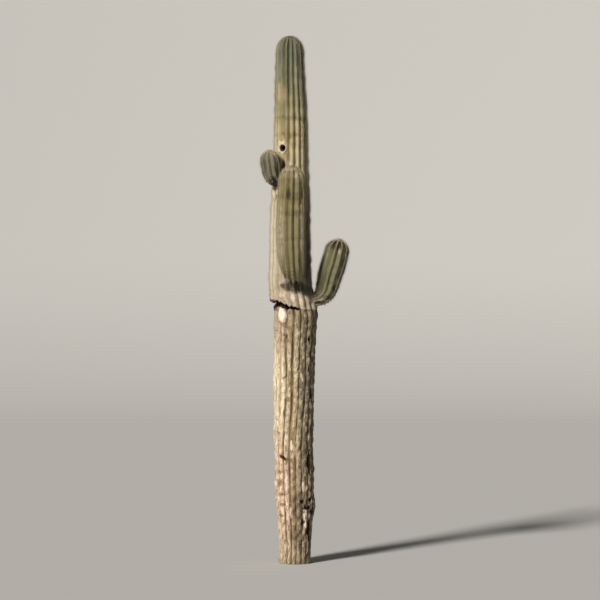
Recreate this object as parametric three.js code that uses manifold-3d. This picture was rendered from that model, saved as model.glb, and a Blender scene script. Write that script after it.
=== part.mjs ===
import * as THREE from "three";
import { mergeVertices } from "three/addons/utils/BufferGeometryUtils.js";
import Module from "manifold-3d";

// Saguaro cactus rooted in level ground: a ribbed column with a large arm in front, an arm on
// the right and an arm bud on the left. Millimetres, +Z up. The origin is the middle of the
// flat cut at ground level, +X is the viewer's right and +Y points away from the viewer.

const wasm = await Module();
wasm.setup();

// Driving dimensions of the trunk
const HEIGHT = 6200;
const CROWN_HEIGHT = 170;
const CROWN_BLUNTNESS = 2.4;
const TRUNK_RIBS = 18;
const RIB_BEARING = 276;

// Height, radius over the rib crests, sideways drift of the axis and groove depth
const TRUNK_STATIONS = [
  [0, 194, 2, 8],
  [70, 185, 2, 10],
  [200, 182, 6, 12],
  [430, 200, 4, 14],
  [680, 219, 0, 15],
  [1000, 227, -4, 16],
  [1400, 229, -14, 16],
  [1850, 236, -12, 17],
  [2450, 245, -6, 19],
  [2800, 254, 6, 21],
  [2920, 256, 12, 23],
  [3080, 257, -18, 26],
  [3250, 252, -48, 31],
  [3600, 239, -54, 34],
  [4075, 231, -54, 34],
  [4310, 221, -48, 34],
  [4660, 205, -47, 33],
  [5130, 194, -46, 32],
  [5400, 186, -50, 31],
  [5720, 173, -58, 29],
  [HEIGHT - CROWN_HEIGHT, 160, -60, 27],
];
const BARK_RING_STEP = 165;
const GREEN_RING_STEP = 140;
const CROWN_RINGS = 6;

// The collar, where the green trunk overhangs the bark below a dark crack
const COLLAR_HEIGHT = 3005;
const COLLAR_BEARING = 215;
const COLLAR_REACH = 82;
const COLLAR_RISE_LEFT = 30;
const COLLAR_FALL_FRONT = 29;
const COLLAR_TILT_REACH = 420;
const CRACK_HALF_HEIGHT = 19;
const CRACK_DEPTH = 58;
const LIP_DEPTH = 30;
const LIP_FADE = 240;
const COLLAR_RINGS = [-130, -75, -42, -24, -12, 0, 12, 24, 42, 80, 130];

// The woodpecker's hole with its callus, and the pale scab under the collar
const NEST = { height: 4852, bearing: 239, mouth: 36, depth: 150, callus: 21, callusRing: 50 };
const SCAB = { height: 2898, bearing: 232, halfWidth: 62, halfHeight: 92, thickness: 24 };

// Arms. Each station is a distance out from the trunk's axis, a height and a radius
const ARMS = [
  {
    name: "front_arm",
    bearing: 271,
    ribs: 13,
    grooveDepth: 27,
    sideways: [42, 40, 34, 24, 14, 4, -2, -4, -6],
    stations: [
      [150, 3424, 84],
      [245, 3394, 92],
      [322, 3388, 110],
      [396, 3424, 128],
      [436, 3512, 146],
      [450, 3650, 158],
      [451, 3900, 168],
      [449, 4170, 167],
      [446, 4440, 157],
    ],
    crownHeight: 162,
    color: 0x8c8058,
  },
  {
    name: "right_arm",
    bearing: 350,
    ribs: 12,
    grooveDepth: 22,
    sideways: [0, 0, 0, 0, 0, 0, 0, 0],
    stations: [
      [160, 3080, 80],
      [266, 3094, 88],
      [343, 3121, 103],
      [404, 3182, 119],
      [446, 3275, 133],
      [480, 3385, 142],
      [522, 3520, 145],
      [553, 3640, 139],
    ],
    crownHeight: 139,
    color: 0x7d765a,
  },
  {
    name: "left_arm_bud",
    bearing: 223,
    ribs: 11,
    grooveDepth: 16,
    sideways: [0, 0, 0, 0, 0, 0],
    stations: [
      [120, 4462, 66],
      [206, 4464, 72],
      [262, 4490, 90],
      [302, 4560, 108],
      [320, 4640, 117],
      [331, 4705, 113],
    ],
    crownHeight: 102,
    color: 0x7a7867,
  },
];
const ARM_BLUNTNESS = 2.2;
const ARM_RINGS_PER_STATION = 2;
const ARM_CROWN_RINGS = 5;

// Each rib is one period with points at its crest, its flanks and the groove
const POINTS_PER_RIB = 4;
// The gap that keeps an arm's neck clear of the trunk
const SEAT_GAP = 0.4;

const radians = THREE.MathUtils.degToRad;
const smoothstep = THREE.MathUtils.smoothstep;

// Smooth curves through a table's columns, as a function of its first column
function columnsOf(table) {
  const keys = table.map((row) => row[0]);
  const width = table[0].length - 1;
  const values = table.flatMap((row) => row.slice(1));
  const curve = new THREE.CubicInterpolant(keys, values, width, new Float64Array(width));
  return (key) => Array.from(curve.evaluate(key));
}

// Share of the groove's depth at a turn around the stem: 0 on a crest and 1 in a groove
function grooveShare(turn, ribs) {
  const acrossRib = Math.abs(((turn * ribs) % 1 + 1) % 1 - 0.5);
  return Math.pow(1 - 2 * acrossRib, 1.3);
}

// Radius share and height share of a blunt crown at a share of its quarter turn
function crownAt(share, bluntness) {
  const angle = (share * Math.PI) / 2;
  return [Math.pow(Math.cos(angle), 2 / bluntness), Math.pow(Math.sin(angle), 2 / bluntness)];
}

// A closed geometry from rings of points, with a flat first end and a pole at the last
function shellOf(rings, foot, pole) {
  const around = rings[0].length;
  const points = [...rings.flat(), foot, pole];
  const footIndex = points.length - 2;
  const poleIndex = points.length - 1;
  const faces = [];
  for (let i = 0; i < around; i++) {
    const j = (i + 1) % around;
    const top = (rings.length - 1) * around;
    faces.push(footIndex, j, i, poleIndex, top + i, top + j);
    for (let k = 0; k < top; k += around) {
      faces.push(k + i, k + j, k + around + j, k + i, k + around + j, k + around + i);
    }
  }
  const geometry = new THREE.BufferGeometry().setFromPoints(points);
  geometry.setIndex(faces);
  return geometry;
}

function solidOf(geometry) {
  const bare = geometry.clone();
  bare.deleteAttribute("normal");
  bare.deleteAttribute("uv");
  const merged = mergeVertices(bare, 1e-3);
  return new wasm.Manifold(
    new wasm.Mesh({
      numProp: 3,
      vertProperties: merged.getAttribute("position").array,
      triVerts: new Uint32Array(merged.index.array),
    }),
  );
}

function geometryOf(solid) {
  const mesh = solid.getMesh();
  const geometry = new THREE.BufferGeometry();
  geometry.setAttribute("position", new THREE.BufferAttribute(mesh.vertProperties, 3));
  geometry.setIndex(new THREE.BufferAttribute(mesh.triVerts, 1));
  const flat = geometry.toNonIndexed();
  flat.computeVertexNormals();
  return flat;
}

const trunkAt = columnsOf(TRUNK_STATIONS);

// How strongly the collar shows at a bearing, from 0 to 1
function collarShare(angle) {
  const halfTurn = Math.PI;
  const turned = angle - radians(COLLAR_BEARING) + halfTurn;
  const away = Math.abs(THREE.MathUtils.euclideanModulo(turned, 2 * halfTurn) - halfTurn);
  return 1 - smoothstep(away, radians(COLLAR_REACH * 0.6), radians(COLLAR_REACH));
}

// What the collar adds to the radius: an overhanging lip above and a crack below it
function collarRadius(angle, height) {
  const above = height - COLLAR_HEIGHT;
  const crack = CRACK_DEPTH * Math.exp(-Math.pow(above / CRACK_HALF_HEIGHT, 4));
  const lip = above > 0 ? LIP_DEPTH * (1 - smoothstep(above, 0, LIP_FADE)) : 0;
  return collarShare(angle) * (lip - crack);
}

// The rings near the collar follow its tilt: higher on the left and lower in front
function collarTilt(angle, height) {
  const reach = 1 - smoothstep(Math.abs(height - COLLAR_HEIGHT), 0, COLLAR_TILT_REACH);
  return reach * (COLLAR_FALL_FRONT * Math.sin(angle) - COLLAR_RISE_LEFT * Math.cos(angle));
}

function trunkRing(height, crestRadius, drift, grooveDepth, swell) {
  const ring = [];
  const around = TRUNK_RIBS * POINTS_PER_RIB;
  for (let i = 0; i < around; i++) {
    const turn = i / around;
    const angle = radians(RIB_BEARING) + turn * 2 * Math.PI;
    const groove = grooveDepth * grooveShare(turn, TRUNK_RIBS);
    const radius = crestRadius - groove + collarRadius(angle, height) + swell;
    const z = height + collarTilt(angle, height);
    ring.push(new THREE.Vector3(drift + radius * Math.cos(angle), radius * Math.sin(angle), z));
  }
  return ring;
}

function trunkHeights() {
  const heights = [0, 35, 90, 160, 250];
  const belowCollar = COLLAR_HEIGHT + COLLAR_RINGS[0];
  const aboveCollar = COLLAR_HEIGHT + COLLAR_RINGS.at(-1);
  const barkSteps = Math.round((belowCollar - 250) / BARK_RING_STEP);
  for (let i = 1; i < barkSteps; i++) {
    heights.push(THREE.MathUtils.lerp(250, belowCollar, i / barkSteps));
  }
  heights.push(...COLLAR_RINGS.map((offset) => COLLAR_HEIGHT + offset));
  const greenTop = HEIGHT - CROWN_HEIGHT;
  const greenSteps = Math.round((greenTop - aboveCollar) / GREEN_RING_STEP);
  for (let i = 1; i <= greenSteps; i++) {
    heights.push(THREE.MathUtils.lerp(aboveCollar, greenTop, i / greenSteps));
  }
  return heights;
}

function trunkShell(swell) {
  const rings = trunkHeights().map((height) => trunkRing(height, ...trunkAt(height), swell));
  const base = HEIGHT - CROWN_HEIGHT;
  const [radius, drift, grooveDepth] = trunkAt(base);
  for (let i = 1; i < CROWN_RINGS; i++) {
    const [wide, tall] = crownAt(i / CROWN_RINGS, CROWN_BLUNTNESS);
    rings.push(trunkRing(base + CROWN_HEIGHT * tall, radius * wide, drift, grooveDepth * wide, swell));
  }
  const foot = new THREE.Vector3(trunkAt(0)[1], 0, 0);
  return shellOf(rings, foot, new THREE.Vector3(drift, 0, HEIGHT + swell));
}

// A geometry whose +Z points out of the trunk at a bearing, moved out to the crests there
function placedOnTrunk(geometry, { bearing, height }, inset) {
  const [crestRadius, drift] = trunkAt(height);
  const out = crestRadius - inset;
  const angle = radians(bearing);
  geometry.rotateY(Math.PI / 2).rotateZ(angle);
  geometry.translate(drift + out * Math.cos(angle), out * Math.sin(angle), height);
  return geometry;
}

function nestCallus() {
  return placedOnTrunk(new THREE.TorusGeometry(NEST.callusRing, NEST.callus, 8, 20), NEST, 26);
}

function nestPlug() {
  return placedOnTrunk(new THREE.SphereGeometry(NEST.callusRing + 6, 16, 8).scale(1, 1, 0.42), NEST, 30);
}

function nestBore() {
  const bore = new THREE.CylinderGeometry(NEST.mouth, NEST.mouth, 2 * NEST.depth, 16);
  return placedOnTrunk(bore.rotateX(Math.PI / 2), NEST, 0);
}

function scabMound() {
  const mound = new THREE.SphereGeometry(1, 16, 10);
  mound.scale(SCAB.halfHeight, SCAB.halfWidth, SCAB.thickness);
  return placedOnTrunk(mound, SCAB, 14);
}

function trunkSolid() {
  return solidOf(trunkShell(0))
    .add(solidOf(nestCallus()))
    .add(solidOf(nestPlug()))
    .add(solidOf(scabMound()))
    .subtract(solidOf(nestBore()));
}

// Rings square to an arm's axis, then a blunt crown, as a closed shell that starts in the trunk
function armShell(arm) {
  const bearing = radians(arm.bearing);
  const outward = new THREE.Vector3(Math.cos(bearing), Math.sin(bearing), 0);
  const across = new THREE.Vector3(-Math.sin(bearing), Math.cos(bearing), 0);
  const points = arm.stations.map(([out, height], i) => {
    const point = outward.clone().multiplyScalar(out);
    point.addScaledVector(across, arm.sideways[i]);
    point.x += trunkAt(height)[1];
    return point.setZ(height);
  });
  const axis = new THREE.CatmullRomCurve3(points);
  const last = arm.stations.length - 1;
  const radiusAt = columnsOf(arm.stations.map((station, i) => [i / last, station[2]]));
  const widest = Math.max(...arm.stations.map((station) => station[2]));

  const ringAt = (center, tangent, radius) => {
    const normal = new THREE.Vector3().crossVectors(across, tangent).normalize();
    const side = new THREE.Vector3().crossVectors(tangent, normal);
    const ring = [];
    const around = arm.ribs * POINTS_PER_RIB;
    for (let i = 0; i < around; i++) {
      const turn = i / around;
      const angle = turn * 2 * Math.PI;
      const groove = arm.grooveDepth * grooveShare(turn, arm.ribs) * (radius / widest);
      const point = center.clone();
      point.addScaledVector(normal, (radius - groove) * Math.cos(angle));
      ring.push(point.addScaledVector(side, (radius - groove) * Math.sin(angle)));
    }
    return ring;
  };

  const rings = [];
  const steps = last * ARM_RINGS_PER_STATION;
  for (let i = 0; i <= steps; i++) {
    const t = i / steps;
    rings.push(ringAt(axis.getPoint(t), axis.getTangent(t), radiusAt(t)[0]));
  }
  const end = axis.getPoint(1);
  const tangent = axis.getTangent(1);
  for (let i = 1; i < ARM_CROWN_RINGS; i++) {
    const [wide, tall] = crownAt(i / ARM_CROWN_RINGS, ARM_BLUNTNESS);
    const center = end.clone().addScaledVector(tangent, arm.crownHeight * tall);
    rings.push(ringAt(center, tangent, radiusAt(1)[0] * wide));
  }
  const pole = end.clone().addScaledVector(tangent, arm.crownHeight);
  return shellOf(rings, axis.getPoint(0), pole);
}

function skin(color, roughness) {
  return new THREE.MeshStandardMaterial({ color, roughness, metalness: 0 });
}

function part(name, solid, material) {
  const mesh = new THREE.Mesh(geometryOf(solid), material);
  mesh.name = name;
  return mesh;
}

const cactus = new THREE.Group();
cactus.add(part("trunk", trunkSolid(), skin(0xa8946c, 0.8)));
const seat = solidOf(trunkShell(SEAT_GAP));
for (const arm of ARMS) {
  const solid = solidOf(armShell(arm)).subtract(seat);
  cactus.add(part(arm.name, solid, skin(arm.color, 0.7)));
}

export default cactus;
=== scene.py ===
"""The finished look of a saguaro cactus, built over its solid frame.

Each operator makes one piece or one group of like pieces. Lengths are metres, +Z is up,
+X is the viewer's right and +Y points away from the viewer. Bearings are degrees
anticlockwise from +X, seen from above.
"""

import math

import bpy
import numpy as np
from mathutils import Matrix, Vector


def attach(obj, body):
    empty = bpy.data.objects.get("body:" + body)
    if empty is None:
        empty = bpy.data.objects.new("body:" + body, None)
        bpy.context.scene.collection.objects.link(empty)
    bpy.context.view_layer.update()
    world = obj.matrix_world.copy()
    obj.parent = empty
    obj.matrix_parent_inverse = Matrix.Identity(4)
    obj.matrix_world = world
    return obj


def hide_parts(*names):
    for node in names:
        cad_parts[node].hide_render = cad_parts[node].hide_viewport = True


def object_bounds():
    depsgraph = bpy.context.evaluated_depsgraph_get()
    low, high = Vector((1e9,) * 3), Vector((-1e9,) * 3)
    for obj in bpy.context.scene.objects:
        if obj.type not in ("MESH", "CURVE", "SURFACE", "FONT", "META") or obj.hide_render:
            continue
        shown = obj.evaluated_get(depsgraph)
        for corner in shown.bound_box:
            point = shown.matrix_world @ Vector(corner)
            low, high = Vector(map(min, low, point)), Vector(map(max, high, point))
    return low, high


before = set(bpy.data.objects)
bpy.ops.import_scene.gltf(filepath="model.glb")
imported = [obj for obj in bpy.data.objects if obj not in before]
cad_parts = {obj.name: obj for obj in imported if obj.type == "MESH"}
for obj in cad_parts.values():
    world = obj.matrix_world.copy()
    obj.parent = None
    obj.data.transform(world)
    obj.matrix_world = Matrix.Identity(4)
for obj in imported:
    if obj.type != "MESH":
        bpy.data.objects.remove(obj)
CAD_BOX = [list(corner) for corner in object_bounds()]

bl_info = {
    "name": "Saguaro Cactus",
    "version": (1, 0, 0),
    "blender": (4, 5, 0),
    "location": "3D View > Sidebar > Cactus",
    "description": "Builds a ribbed saguaro with corky bark, arms, a nest hole and spines",
    "category": "Add Mesh",
}

# Height, radius over the rib crests, sideways drift of the axis and groove depth
TRUNK_STATIONS = [
    (0.000, 0.194, 0.002, 0.008),
    (0.070, 0.185, 0.002, 0.010),
    (0.200, 0.182, 0.006, 0.012),
    (0.430, 0.200, 0.004, 0.014),
    (0.680, 0.219, 0.000, 0.015),
    (1.000, 0.227, -0.004, 0.016),
    (1.400, 0.229, -0.014, 0.016),
    (1.850, 0.236, -0.012, 0.017),
    (2.450, 0.245, -0.006, 0.019),
    (2.800, 0.254, 0.006, 0.021),
    (2.920, 0.256, 0.012, 0.023),
    (3.080, 0.257, -0.018, 0.026),
    (3.250, 0.252, -0.048, 0.031),
    (3.600, 0.239, -0.054, 0.034),
    (4.075, 0.231, -0.054, 0.034),
    (4.310, 0.221, -0.048, 0.034),
    (4.660, 0.205, -0.047, 0.033),
    (5.130, 0.194, -0.046, 0.032),
    (5.400, 0.186, -0.050, 0.031),
    (5.720, 0.173, -0.058, 0.029),
    (6.030, 0.160, -0.060, 0.027),
]
CROWN_BLUNTNESS = 2.4
RIB_BEARING = 276.0

# The collar: the green trunk overhangs the bark below a crack painted dark as shade. At the far
# left the crack gapes over a flap of bark, also painted dark as shade, and the lip arches up over
# the crack's left part.
COLLAR_HEIGHT = 3.005
COLLAR_BEARING = 215.0
COLLAR_REACH = 82.0
COLLAR_RISE_LEFT = 0.030
COLLAR_FALL_FRONT = 0.029
COLLAR_TILT_REACH = 0.42
CRACK_DEPTH = 0.046
CRACK_DEPTH_BEHIND = 0.008
CRACK_SHADE_BEHIND = 0.30
BARK_END = COLLAR_HEIGHT - 0.030
LIP_TOP = COLLAR_HEIGHT + 0.026
LIP_DEPTH = 0.030
LIP_DEPTH_BEHIND = 0.0035
LIP_FADE = 0.24
GAPE_BEARING = 184.0
GAPE_SPREAD = 24.0
GAPE_HEIGHT = 0.040
FLAP_DEPTH = 0.050
ARCH_BEARING = 228.0
ARCH_RISES = (-26.0, -10.0)
ARCH_FALLS = (20.0, 28.0)
ARCH_HEIGHT = 0.030

# Arms. Each station is a distance out from the trunk's axis, a height, a radius and a shift
ARMS = {
    "front_arm": {
        "bearing": 271.0,
        "ribs": 13,
        "groove": 0.027,
        "crown": 0.162,
        "stations": [
            (0.150, 3.424, 0.084, 0.042),
            (0.245, 3.394, 0.092, 0.040),
            (0.322, 3.388, 0.110, 0.034),
            (0.396, 3.424, 0.128, 0.024),
            (0.436, 3.512, 0.146, 0.014),
            (0.450, 3.650, 0.158, 0.004),
            (0.451, 3.900, 0.165, 0.000),
            (0.449, 4.170, 0.161, 0.002),
            (0.446, 4.440, 0.146, 0.006),
        ],
    },
    "right_arm": {
        "bearing": 350.0,
        "ribs": 12,
        "groove": 0.022,
        "crown": 0.139,
        "stations": [
            (0.160, 3.080, 0.080, 0.0),
            (0.266, 3.094, 0.088, 0.0),
            (0.343, 3.121, 0.103, 0.0),
            (0.404, 3.182, 0.119, 0.0),
            (0.446, 3.275, 0.133, 0.0),
            (0.480, 3.385, 0.142, 0.0),
            (0.522, 3.520, 0.145, 0.0),
            (0.553, 3.640, 0.139, 0.0),
        ],
    },
    "left_arm_bud": {
        "bearing": 223.0,
        "ribs": 11,
        "groove": 0.016,
        "crown": 0.102,
        "stations": [
            (0.120, 4.462, 0.066, 0.0),
            (0.206, 4.464, 0.072, 0.0),
            (0.262, 4.490, 0.090, 0.0),
            (0.302, 4.560, 0.108, 0.0),
            (0.320, 4.640, 0.117, 0.0),
            (0.331, 4.705, 0.113, 0.0),
        ],
    },
}
ARM_BLUNTNESS = 2.2

# Marks on the trunk: bearing, height, half width, half height and, for some, a tilt
NEST = (239.0, 4.852, 0.036, 0.036)
CALLUS = (229.0, 4.862, 0.084, 0.088)
SCAB = (231.0, 2.902, 0.062, 0.096)
NOTCH = (230.5, 1.243, 0.078, 0.022, -24.0)
KNOTS = [
    (244.0, 2.650, 0.022, 0.028),
    (283.0, 2.262, 0.016, 0.018),
    (243.0, 2.176, 0.046, 0.014, 40.0),
]
FLANK_FOLDS = [
    (219.0, 1.069, 0.072, 0.024),
    (217.0, 0.944, 0.076, 0.042),
    (220.0, 0.807, 0.078, 0.024),
    (225.0, 0.689, 0.062, 0.022),
    (222.0, 0.560, 0.040, 0.018),
    (216.0, 1.520, 0.040, 0.016),
]
PITS = [
    (292.0, 0.728, 0.030, 0.026),
    (304.0, 0.655, 0.028, 0.022),
    (319.0, 0.655, 0.030, 0.026),
    (325.0, 0.748, 0.026, 0.030),
    (338.0, 0.600, 0.030, 0.050),
    (297.0, 0.490, 0.022, 0.042),
    (325.0, 0.395, 0.026, 0.130),
    (322.0, 1.185, 0.026, 0.150),
    (330.0, 0.880, 0.018, 0.060),
    (331.0, 1.560, 0.016, 0.080),
    (329.0, 1.960, 0.020, 0.080, 8.0),
    (317.0, 2.250, 0.016, 0.050),
    (323.0, 2.440, 0.018, 0.060, -10.0),
    (315.0, 2.600, 0.018, 0.046),
]
PALE_SPECKS = [
    (306.0, 0.525, 0.030, 0.115),
    (263.0, 1.380, 0.018, 0.060),
]
PALE_FOLD = (262.0, 2.800, 0.085, 0.022, 28.0)
BURL = (352.0, 0.690, 0.110, 0.120)
BRIGHT_CRESTS = [
    (245.0, 0.960, 0.022, 0.170),
    (255.0, 0.620, 0.020, 0.130),
    (234.0, 1.850, 0.020, 0.260),
    (235.0, 2.200, 0.020, 0.180),
    (297.0, 0.905, 0.026, 0.090),
    (310.0, 0.890, 0.018, 0.060),
]
DARK_PATCHES = [
    (270.0, 0.690, 0.040, 0.410),
    (269.0, 0.720, 0.050, 0.042),
    (272.0, 0.350, 0.080, 0.140),
    (252.0, 1.215, 0.100, 0.024),
    (264.0, 2.100, 0.026, 0.560),
    (246.0, 2.770, 0.075, 0.030, -24.0),
    (289.0, 0.640, 0.036, 0.140),
    (297.0, 1.330, 0.040, 0.260),
    (272.0, 1.160, 0.030, 0.130),
    (262.0, 1.480, 0.030, 0.180),
    (288.0, 2.860, 0.060, 0.060),
    (256.0, 1.915, 0.070, 0.034),
    (246.0, 2.610, 0.044, 0.044),
]
BUD_SCAR = (215.0, 4.280, 0.028, 0.036)
HEALED_SPOTS = [
    (194.0, 4.335, 0.052, 0.042),
    (265.0, 4.650, 0.030, 0.066, 12.0),
]
# Swellings above the collar, painted pale partly as light where the front arm shades them
COLLAR_SWELLINGS = [
    (274.0, 3.112, 0.062, 0.048),
    (240.0, 3.140, 0.060, 0.040),
    (290.0, 3.085, 0.060, 0.036),
]
# Painted shadow under the front arm
ARM_SHADE = (277.0, 3.262, 0.150, 0.052, -12.0)
# Painted shadows: under the front arm, on the trunk right of it, on the tip's right side and round
# the bud
PAINTED_SHADOWS = [
    (290.0, 3.254, 0.160, 0.066, -14.0),
    (320.0, 3.215, 0.084, 0.078),
    (261.0, 3.236, 0.078, 0.050),
    (252.0, 3.246, 0.056, 0.034),
    (281.0, 3.212, 0.080, 0.046),
    (322.0, 5.850, 0.040, 0.160),
    (326.0, 3.740, 0.100, 0.620),
    (236.0, 4.520, 0.050, 0.040),
    (241.0, 4.636, 0.044, 0.080),
]
STAINS = [
    (234.0, 3.120, 0.100, 0.075),
    (228.0, 3.300, 0.040, 0.090),
    (229.0, 3.190, 0.060, 0.060),
    (259.0, 5.720, 0.046, 0.460),
    (262.0, 4.985, 0.080, 0.040),
    (256.0, 4.900, 0.034, 0.300),
    (262.0, 6.080, 0.060, 0.090),
]
WARM_PATCHES = [
    (230.0, 5.500, 0.105, 0.180),
    (222.0, 5.050, 0.050, 0.120),
    (255.0, 4.690, 0.090, 0.110),
]

# Painted shade on the skin's side that is out of the key light: the middle of that side, and how
# many degrees from it the shade starts and is full
SHADED_SIDE_BEARING = 342.0
SHADE_START = 36.0
SHADE_FULL = 20.0

# Growth bands round the trunk: height, half height and strength
GROWTH_BANDS = [
    (5.960, 0.030, 0.30),
    (5.830, 0.026, 0.25),
    (5.500, 0.030, 0.30),
    (5.210, 0.034, 0.50),
    (5.010, 0.026, 0.60),
    (4.560, 0.034, 0.35),
    (4.250, 0.030, 0.40),
    (3.900, 0.030, 0.30),
    (3.640, 0.034, 0.30),
]

# What each form adds to the radius of the bark, of the trunk's skin and of the arms
BARK_FORMS = {
    "lumps": 0.0040,
    "scab": 0.010,
    "pale_fold": 0.006,
    "pits": -0.016,
    "knots": -0.014,
    "notch": -0.024,
    "flank_folds": -0.008,
    "specks": 0.004,
    "rims": 0.004,
    "burl": 0.022,
}
SKIN_FORMS = {
    "bands": 0.0022,
    "lumps": 0.0020,
    "folds": 0.0012,
    "cracks": -0.003,
    "areoles": 0.0034,
    "callus": 0.013,
    "nest_dip": -0.009,
    "arm_feet": 0.010,
    "bud_scar": -0.006,
    "swellings": 0.012,
}
ARM_FORMS = {"bands": 0.0018, "lumps": 0.0015, "areoles": 0.0032}

# Marks on the front of the arms: X, height, half width, half height, mask and strength. The
# darkest kind is painted shade: shadows on the right arm's right side and underside, round the bud
# and on the front arm's right side. Some pale marks on the front arm are painted light
ARM_MARKS = {
    "front_arm": [
        (-0.020, 4.260, 0.240, 0.052, "stain", 0.90),
        (0.098, 4.300, 0.034, 0.090, "grime", 0.90),
        (-0.020, 4.050, 0.240, 0.046, "stain", 0.50),
        (-0.020, 3.760, 0.240, 0.036, "stain", 0.35),
        (-0.058, 4.480, 0.055, 0.085, "scar", 0.38),
        (-0.074, 4.075, 0.050, 0.050, "groove", 0.90),
        (-0.066, 3.480, 0.036, 0.046, "groove", 0.90),
        (-0.160, 3.880, 0.060, 0.420, "cork", 0.50),
        # Painted light on the arm's right side, away from the key light
        (0.064, 3.900, 0.040, 0.480, "pale", 0.36),
        (0.046, 4.510, 0.050, 0.050, "pale", 0.36),
        (-0.066, 4.285, 0.045, 0.090, "grime", 0.45),
        # Painted highlight on the arm's crown
        (-0.055, 4.580, 0.100, 0.046, "pale", 0.42),
        (-0.030, 4.495, 0.160, 0.056, "pale", 0.34),
    ],
    "right_arm": [
        (0.525, 3.640, 0.030, 0.060, "warm", 0.45),
        (0.612, 3.640, 0.034, 0.090, "grime", 1.00),
        (0.584, 3.490, 0.062, 0.120, "grime", 1.00),
        (0.540, 3.340, 0.052, 0.100, "grime", 1.00),
        (0.480, 3.205, 0.050, 0.056, "grime", 1.00),
        (0.390, 3.106, 0.070, 0.032, "grime", 1.00),
        (0.290, 3.050, 0.080, 0.026, "grime", 1.00),
        (0.427, 3.466, 0.034, 0.040, "groove", 0.70),
        (0.385, 3.370, 0.036, 0.070, "scar", 0.30),
        (0.375, 3.320, 0.040, 0.090, "stain", 0.60),
        (0.510, 3.716, 0.130, 0.070, "grime", 0.80),
        (0.270, 3.200, 0.060, 0.070, "pale", 0.30),
    ],
    "left_arm_bud": [
        (-0.250, 4.470, 0.060, 0.050, "grime", 1.00),
        (-0.214, 4.425, 0.066, 0.060, "grime", 1.00),
        (-0.175, 4.650, 0.045, 0.085, "grime", 1.00),
        (-0.190, 4.560, 0.040, 0.100, "grime", 0.80),
        (-0.250, 4.790, 0.060, 0.050, "warm", 0.45),
        (-0.370, 4.620, 0.050, 0.160, "grime", 0.45),
    ],
}

# The bark's ribs turn by this part of a round between two heights, and two grooves are deeper
# and painted darker as shade
RIB_TURN = -0.030
RIB_TURN_LOW = 1.25
RIB_TURN_HIGH = 2.15
DEEP_GROOVES = (266.0, 246.0)

# The bark's colours run from the ground to a height. The middle of its greyest side, which is
# also painted shade away from the key light, and the bearings where its grey starts, above and at
# the foot, and its olive tone, low down and above
BARK_COLOUR_TOP = 3.1
SHADED_WEATHERED_BEARING = 342.0
GREY_START = 283.0
GREY_START_AT_FOOT = 267.0
OLIVE_START = 250.0
OLIVE_START_ABOVE = 243.0

# How finely the stems are divided. LIP_EDGE_RINGS of the LIP_RINGS lie on the lip's rounded
# edge, each of a stem's last CROWDED_RINGS has tufts, and rings lie closer near the nest hole
BARK_RINGS = 276
SHOULDER_RINGS = 6
LIP_RINGS = 7
LIP_EDGE_RINGS = 4
COLUMNS_PER_TRUNK_RIB = 18
COLUMNS_PER_ARM_RIB = 18
ARM_RING_STEP = 0.012
CROWDED_RINGS = 6
NEST_FINE_REACH = 0.105
NEST_FINENESS = 3

# The bark's rings that have tufts: the first, the step between them and how many end without
STUB_START = 70
STUB_STEP = 3
STUB_END = 6

# How far spine tufts keep from the nest hole, from where stems join and from an arm's start
NEST_CLEARING = 0.082
STEM_CLEARING = 0.004
ARM_CLEARING = 0.16

# The nest hole: how far its mouth is sunk, its rounded rim, how deep the skin is pressed in
# behind it, and how many sides its lining starts with
MOUTH_SINK = 0.010
RIM_RADIUS = 0.053
RIM_WIDTH = 0.015
RIM_DEPTH = 0.011
NEST_PRESS = 0.135
HOLE_SIDES = 36

# Felt pads: number of sides, half height, half width, how far they stand out and how far in
PAD_SIDES = 7
PAD_HALF_HEIGHT = 0.0075
PAD_HALF_WIDTH = 0.0058
PAD_OUT = 0.0045
PAD_IN = 0.0015

# Spines: how far one may stand out from the skin, and degrees out of the skin by kind
SPINE_REACH = 0.027
RADIAL_TILT = (6, 34)
CENTRAL_TILT = (32, 74)
STUB_TILT = (15, 70)
STUBS_IN_TUFT = 4

# Where the Mix node keeps its colour sockets
MIX_COLOUR_A = 6
MIX_COLOUR_B = 7
MIX_COLOUR_RESULT = 2

# The studio floor curves up into a gentle slope far from the plant, on every side
FLOOR_RADIUS = 50.0
FLOOR_SIDES = 128
BACKDROP_BEND = 120.0
BACKDROP_SLOPE = 21.0
BACKDROP_RADIUS = 320.0

# The camera at a viewer's eye level, and the lights. The key light fills an angle of KEY_SOFTNESS
CAMERA_EYE = (0.06, -23.5, 2.45)
CAMERA_AIM = (0.06, 0.0, 3.08)
SENSOR_WIDTH = 36.0
VIEW_REACH = 500.0
KEY_DISTANCE = 12.0
KEY_SOFTNESS = 9.0
KEY_COLOUR = (1.0, 0.965, 0.90)
FILL_COLOUR = (0.93, 0.96, 1.0)

# Seeds for what is random
RIPPLE_SEEDS = {"wander": 11, "fissure": 23, "check": 31, "patch": 43, "lump": 59, "band": 67}
SPINE_SEED = 101
STUB_SEED = 131

# Where each stem's areoles sit, filled in by the stems and read by the felt and the spines
planted = {}


def smoothstep(value, low, high):
    share = np.clip((value - low) / (high - low), 0, 1)
    return share * share * (3 - 2 * share)


def smooth_columns(table):
    """A smooth curve through each column of a table, as a function of its first column."""
    rows = np.array(table, float)
    keys, values = rows[:, 0], rows[:, 1:]
    slopes = np.gradient(values, keys, axis=0)

    def at(key):
        key = np.clip(np.asarray(key, float), keys[0], keys[-1])
        i = np.clip(np.searchsorted(keys, key, side="right") - 1, 0, len(keys) - 2)
        span = (keys[i + 1] - keys[i])[..., None]
        t = (key - keys[i])[..., None] / span
        from_value = (1 + 2 * t) * (1 - t) ** 2 * values[i]
        from_slope = t * (1 - t) ** 2 * span * slopes[i]
        to_value = t**2 * (3 - 2 * t) * values[i + 1]
        to_slope = t**2 * (t - 1) * span * slopes[i + 1]
        return np.moveaxis(from_value + from_slope + to_value + to_slope, -1, 0)

    return at


trunk_at = smooth_columns(TRUNK_STATIONS)


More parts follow.
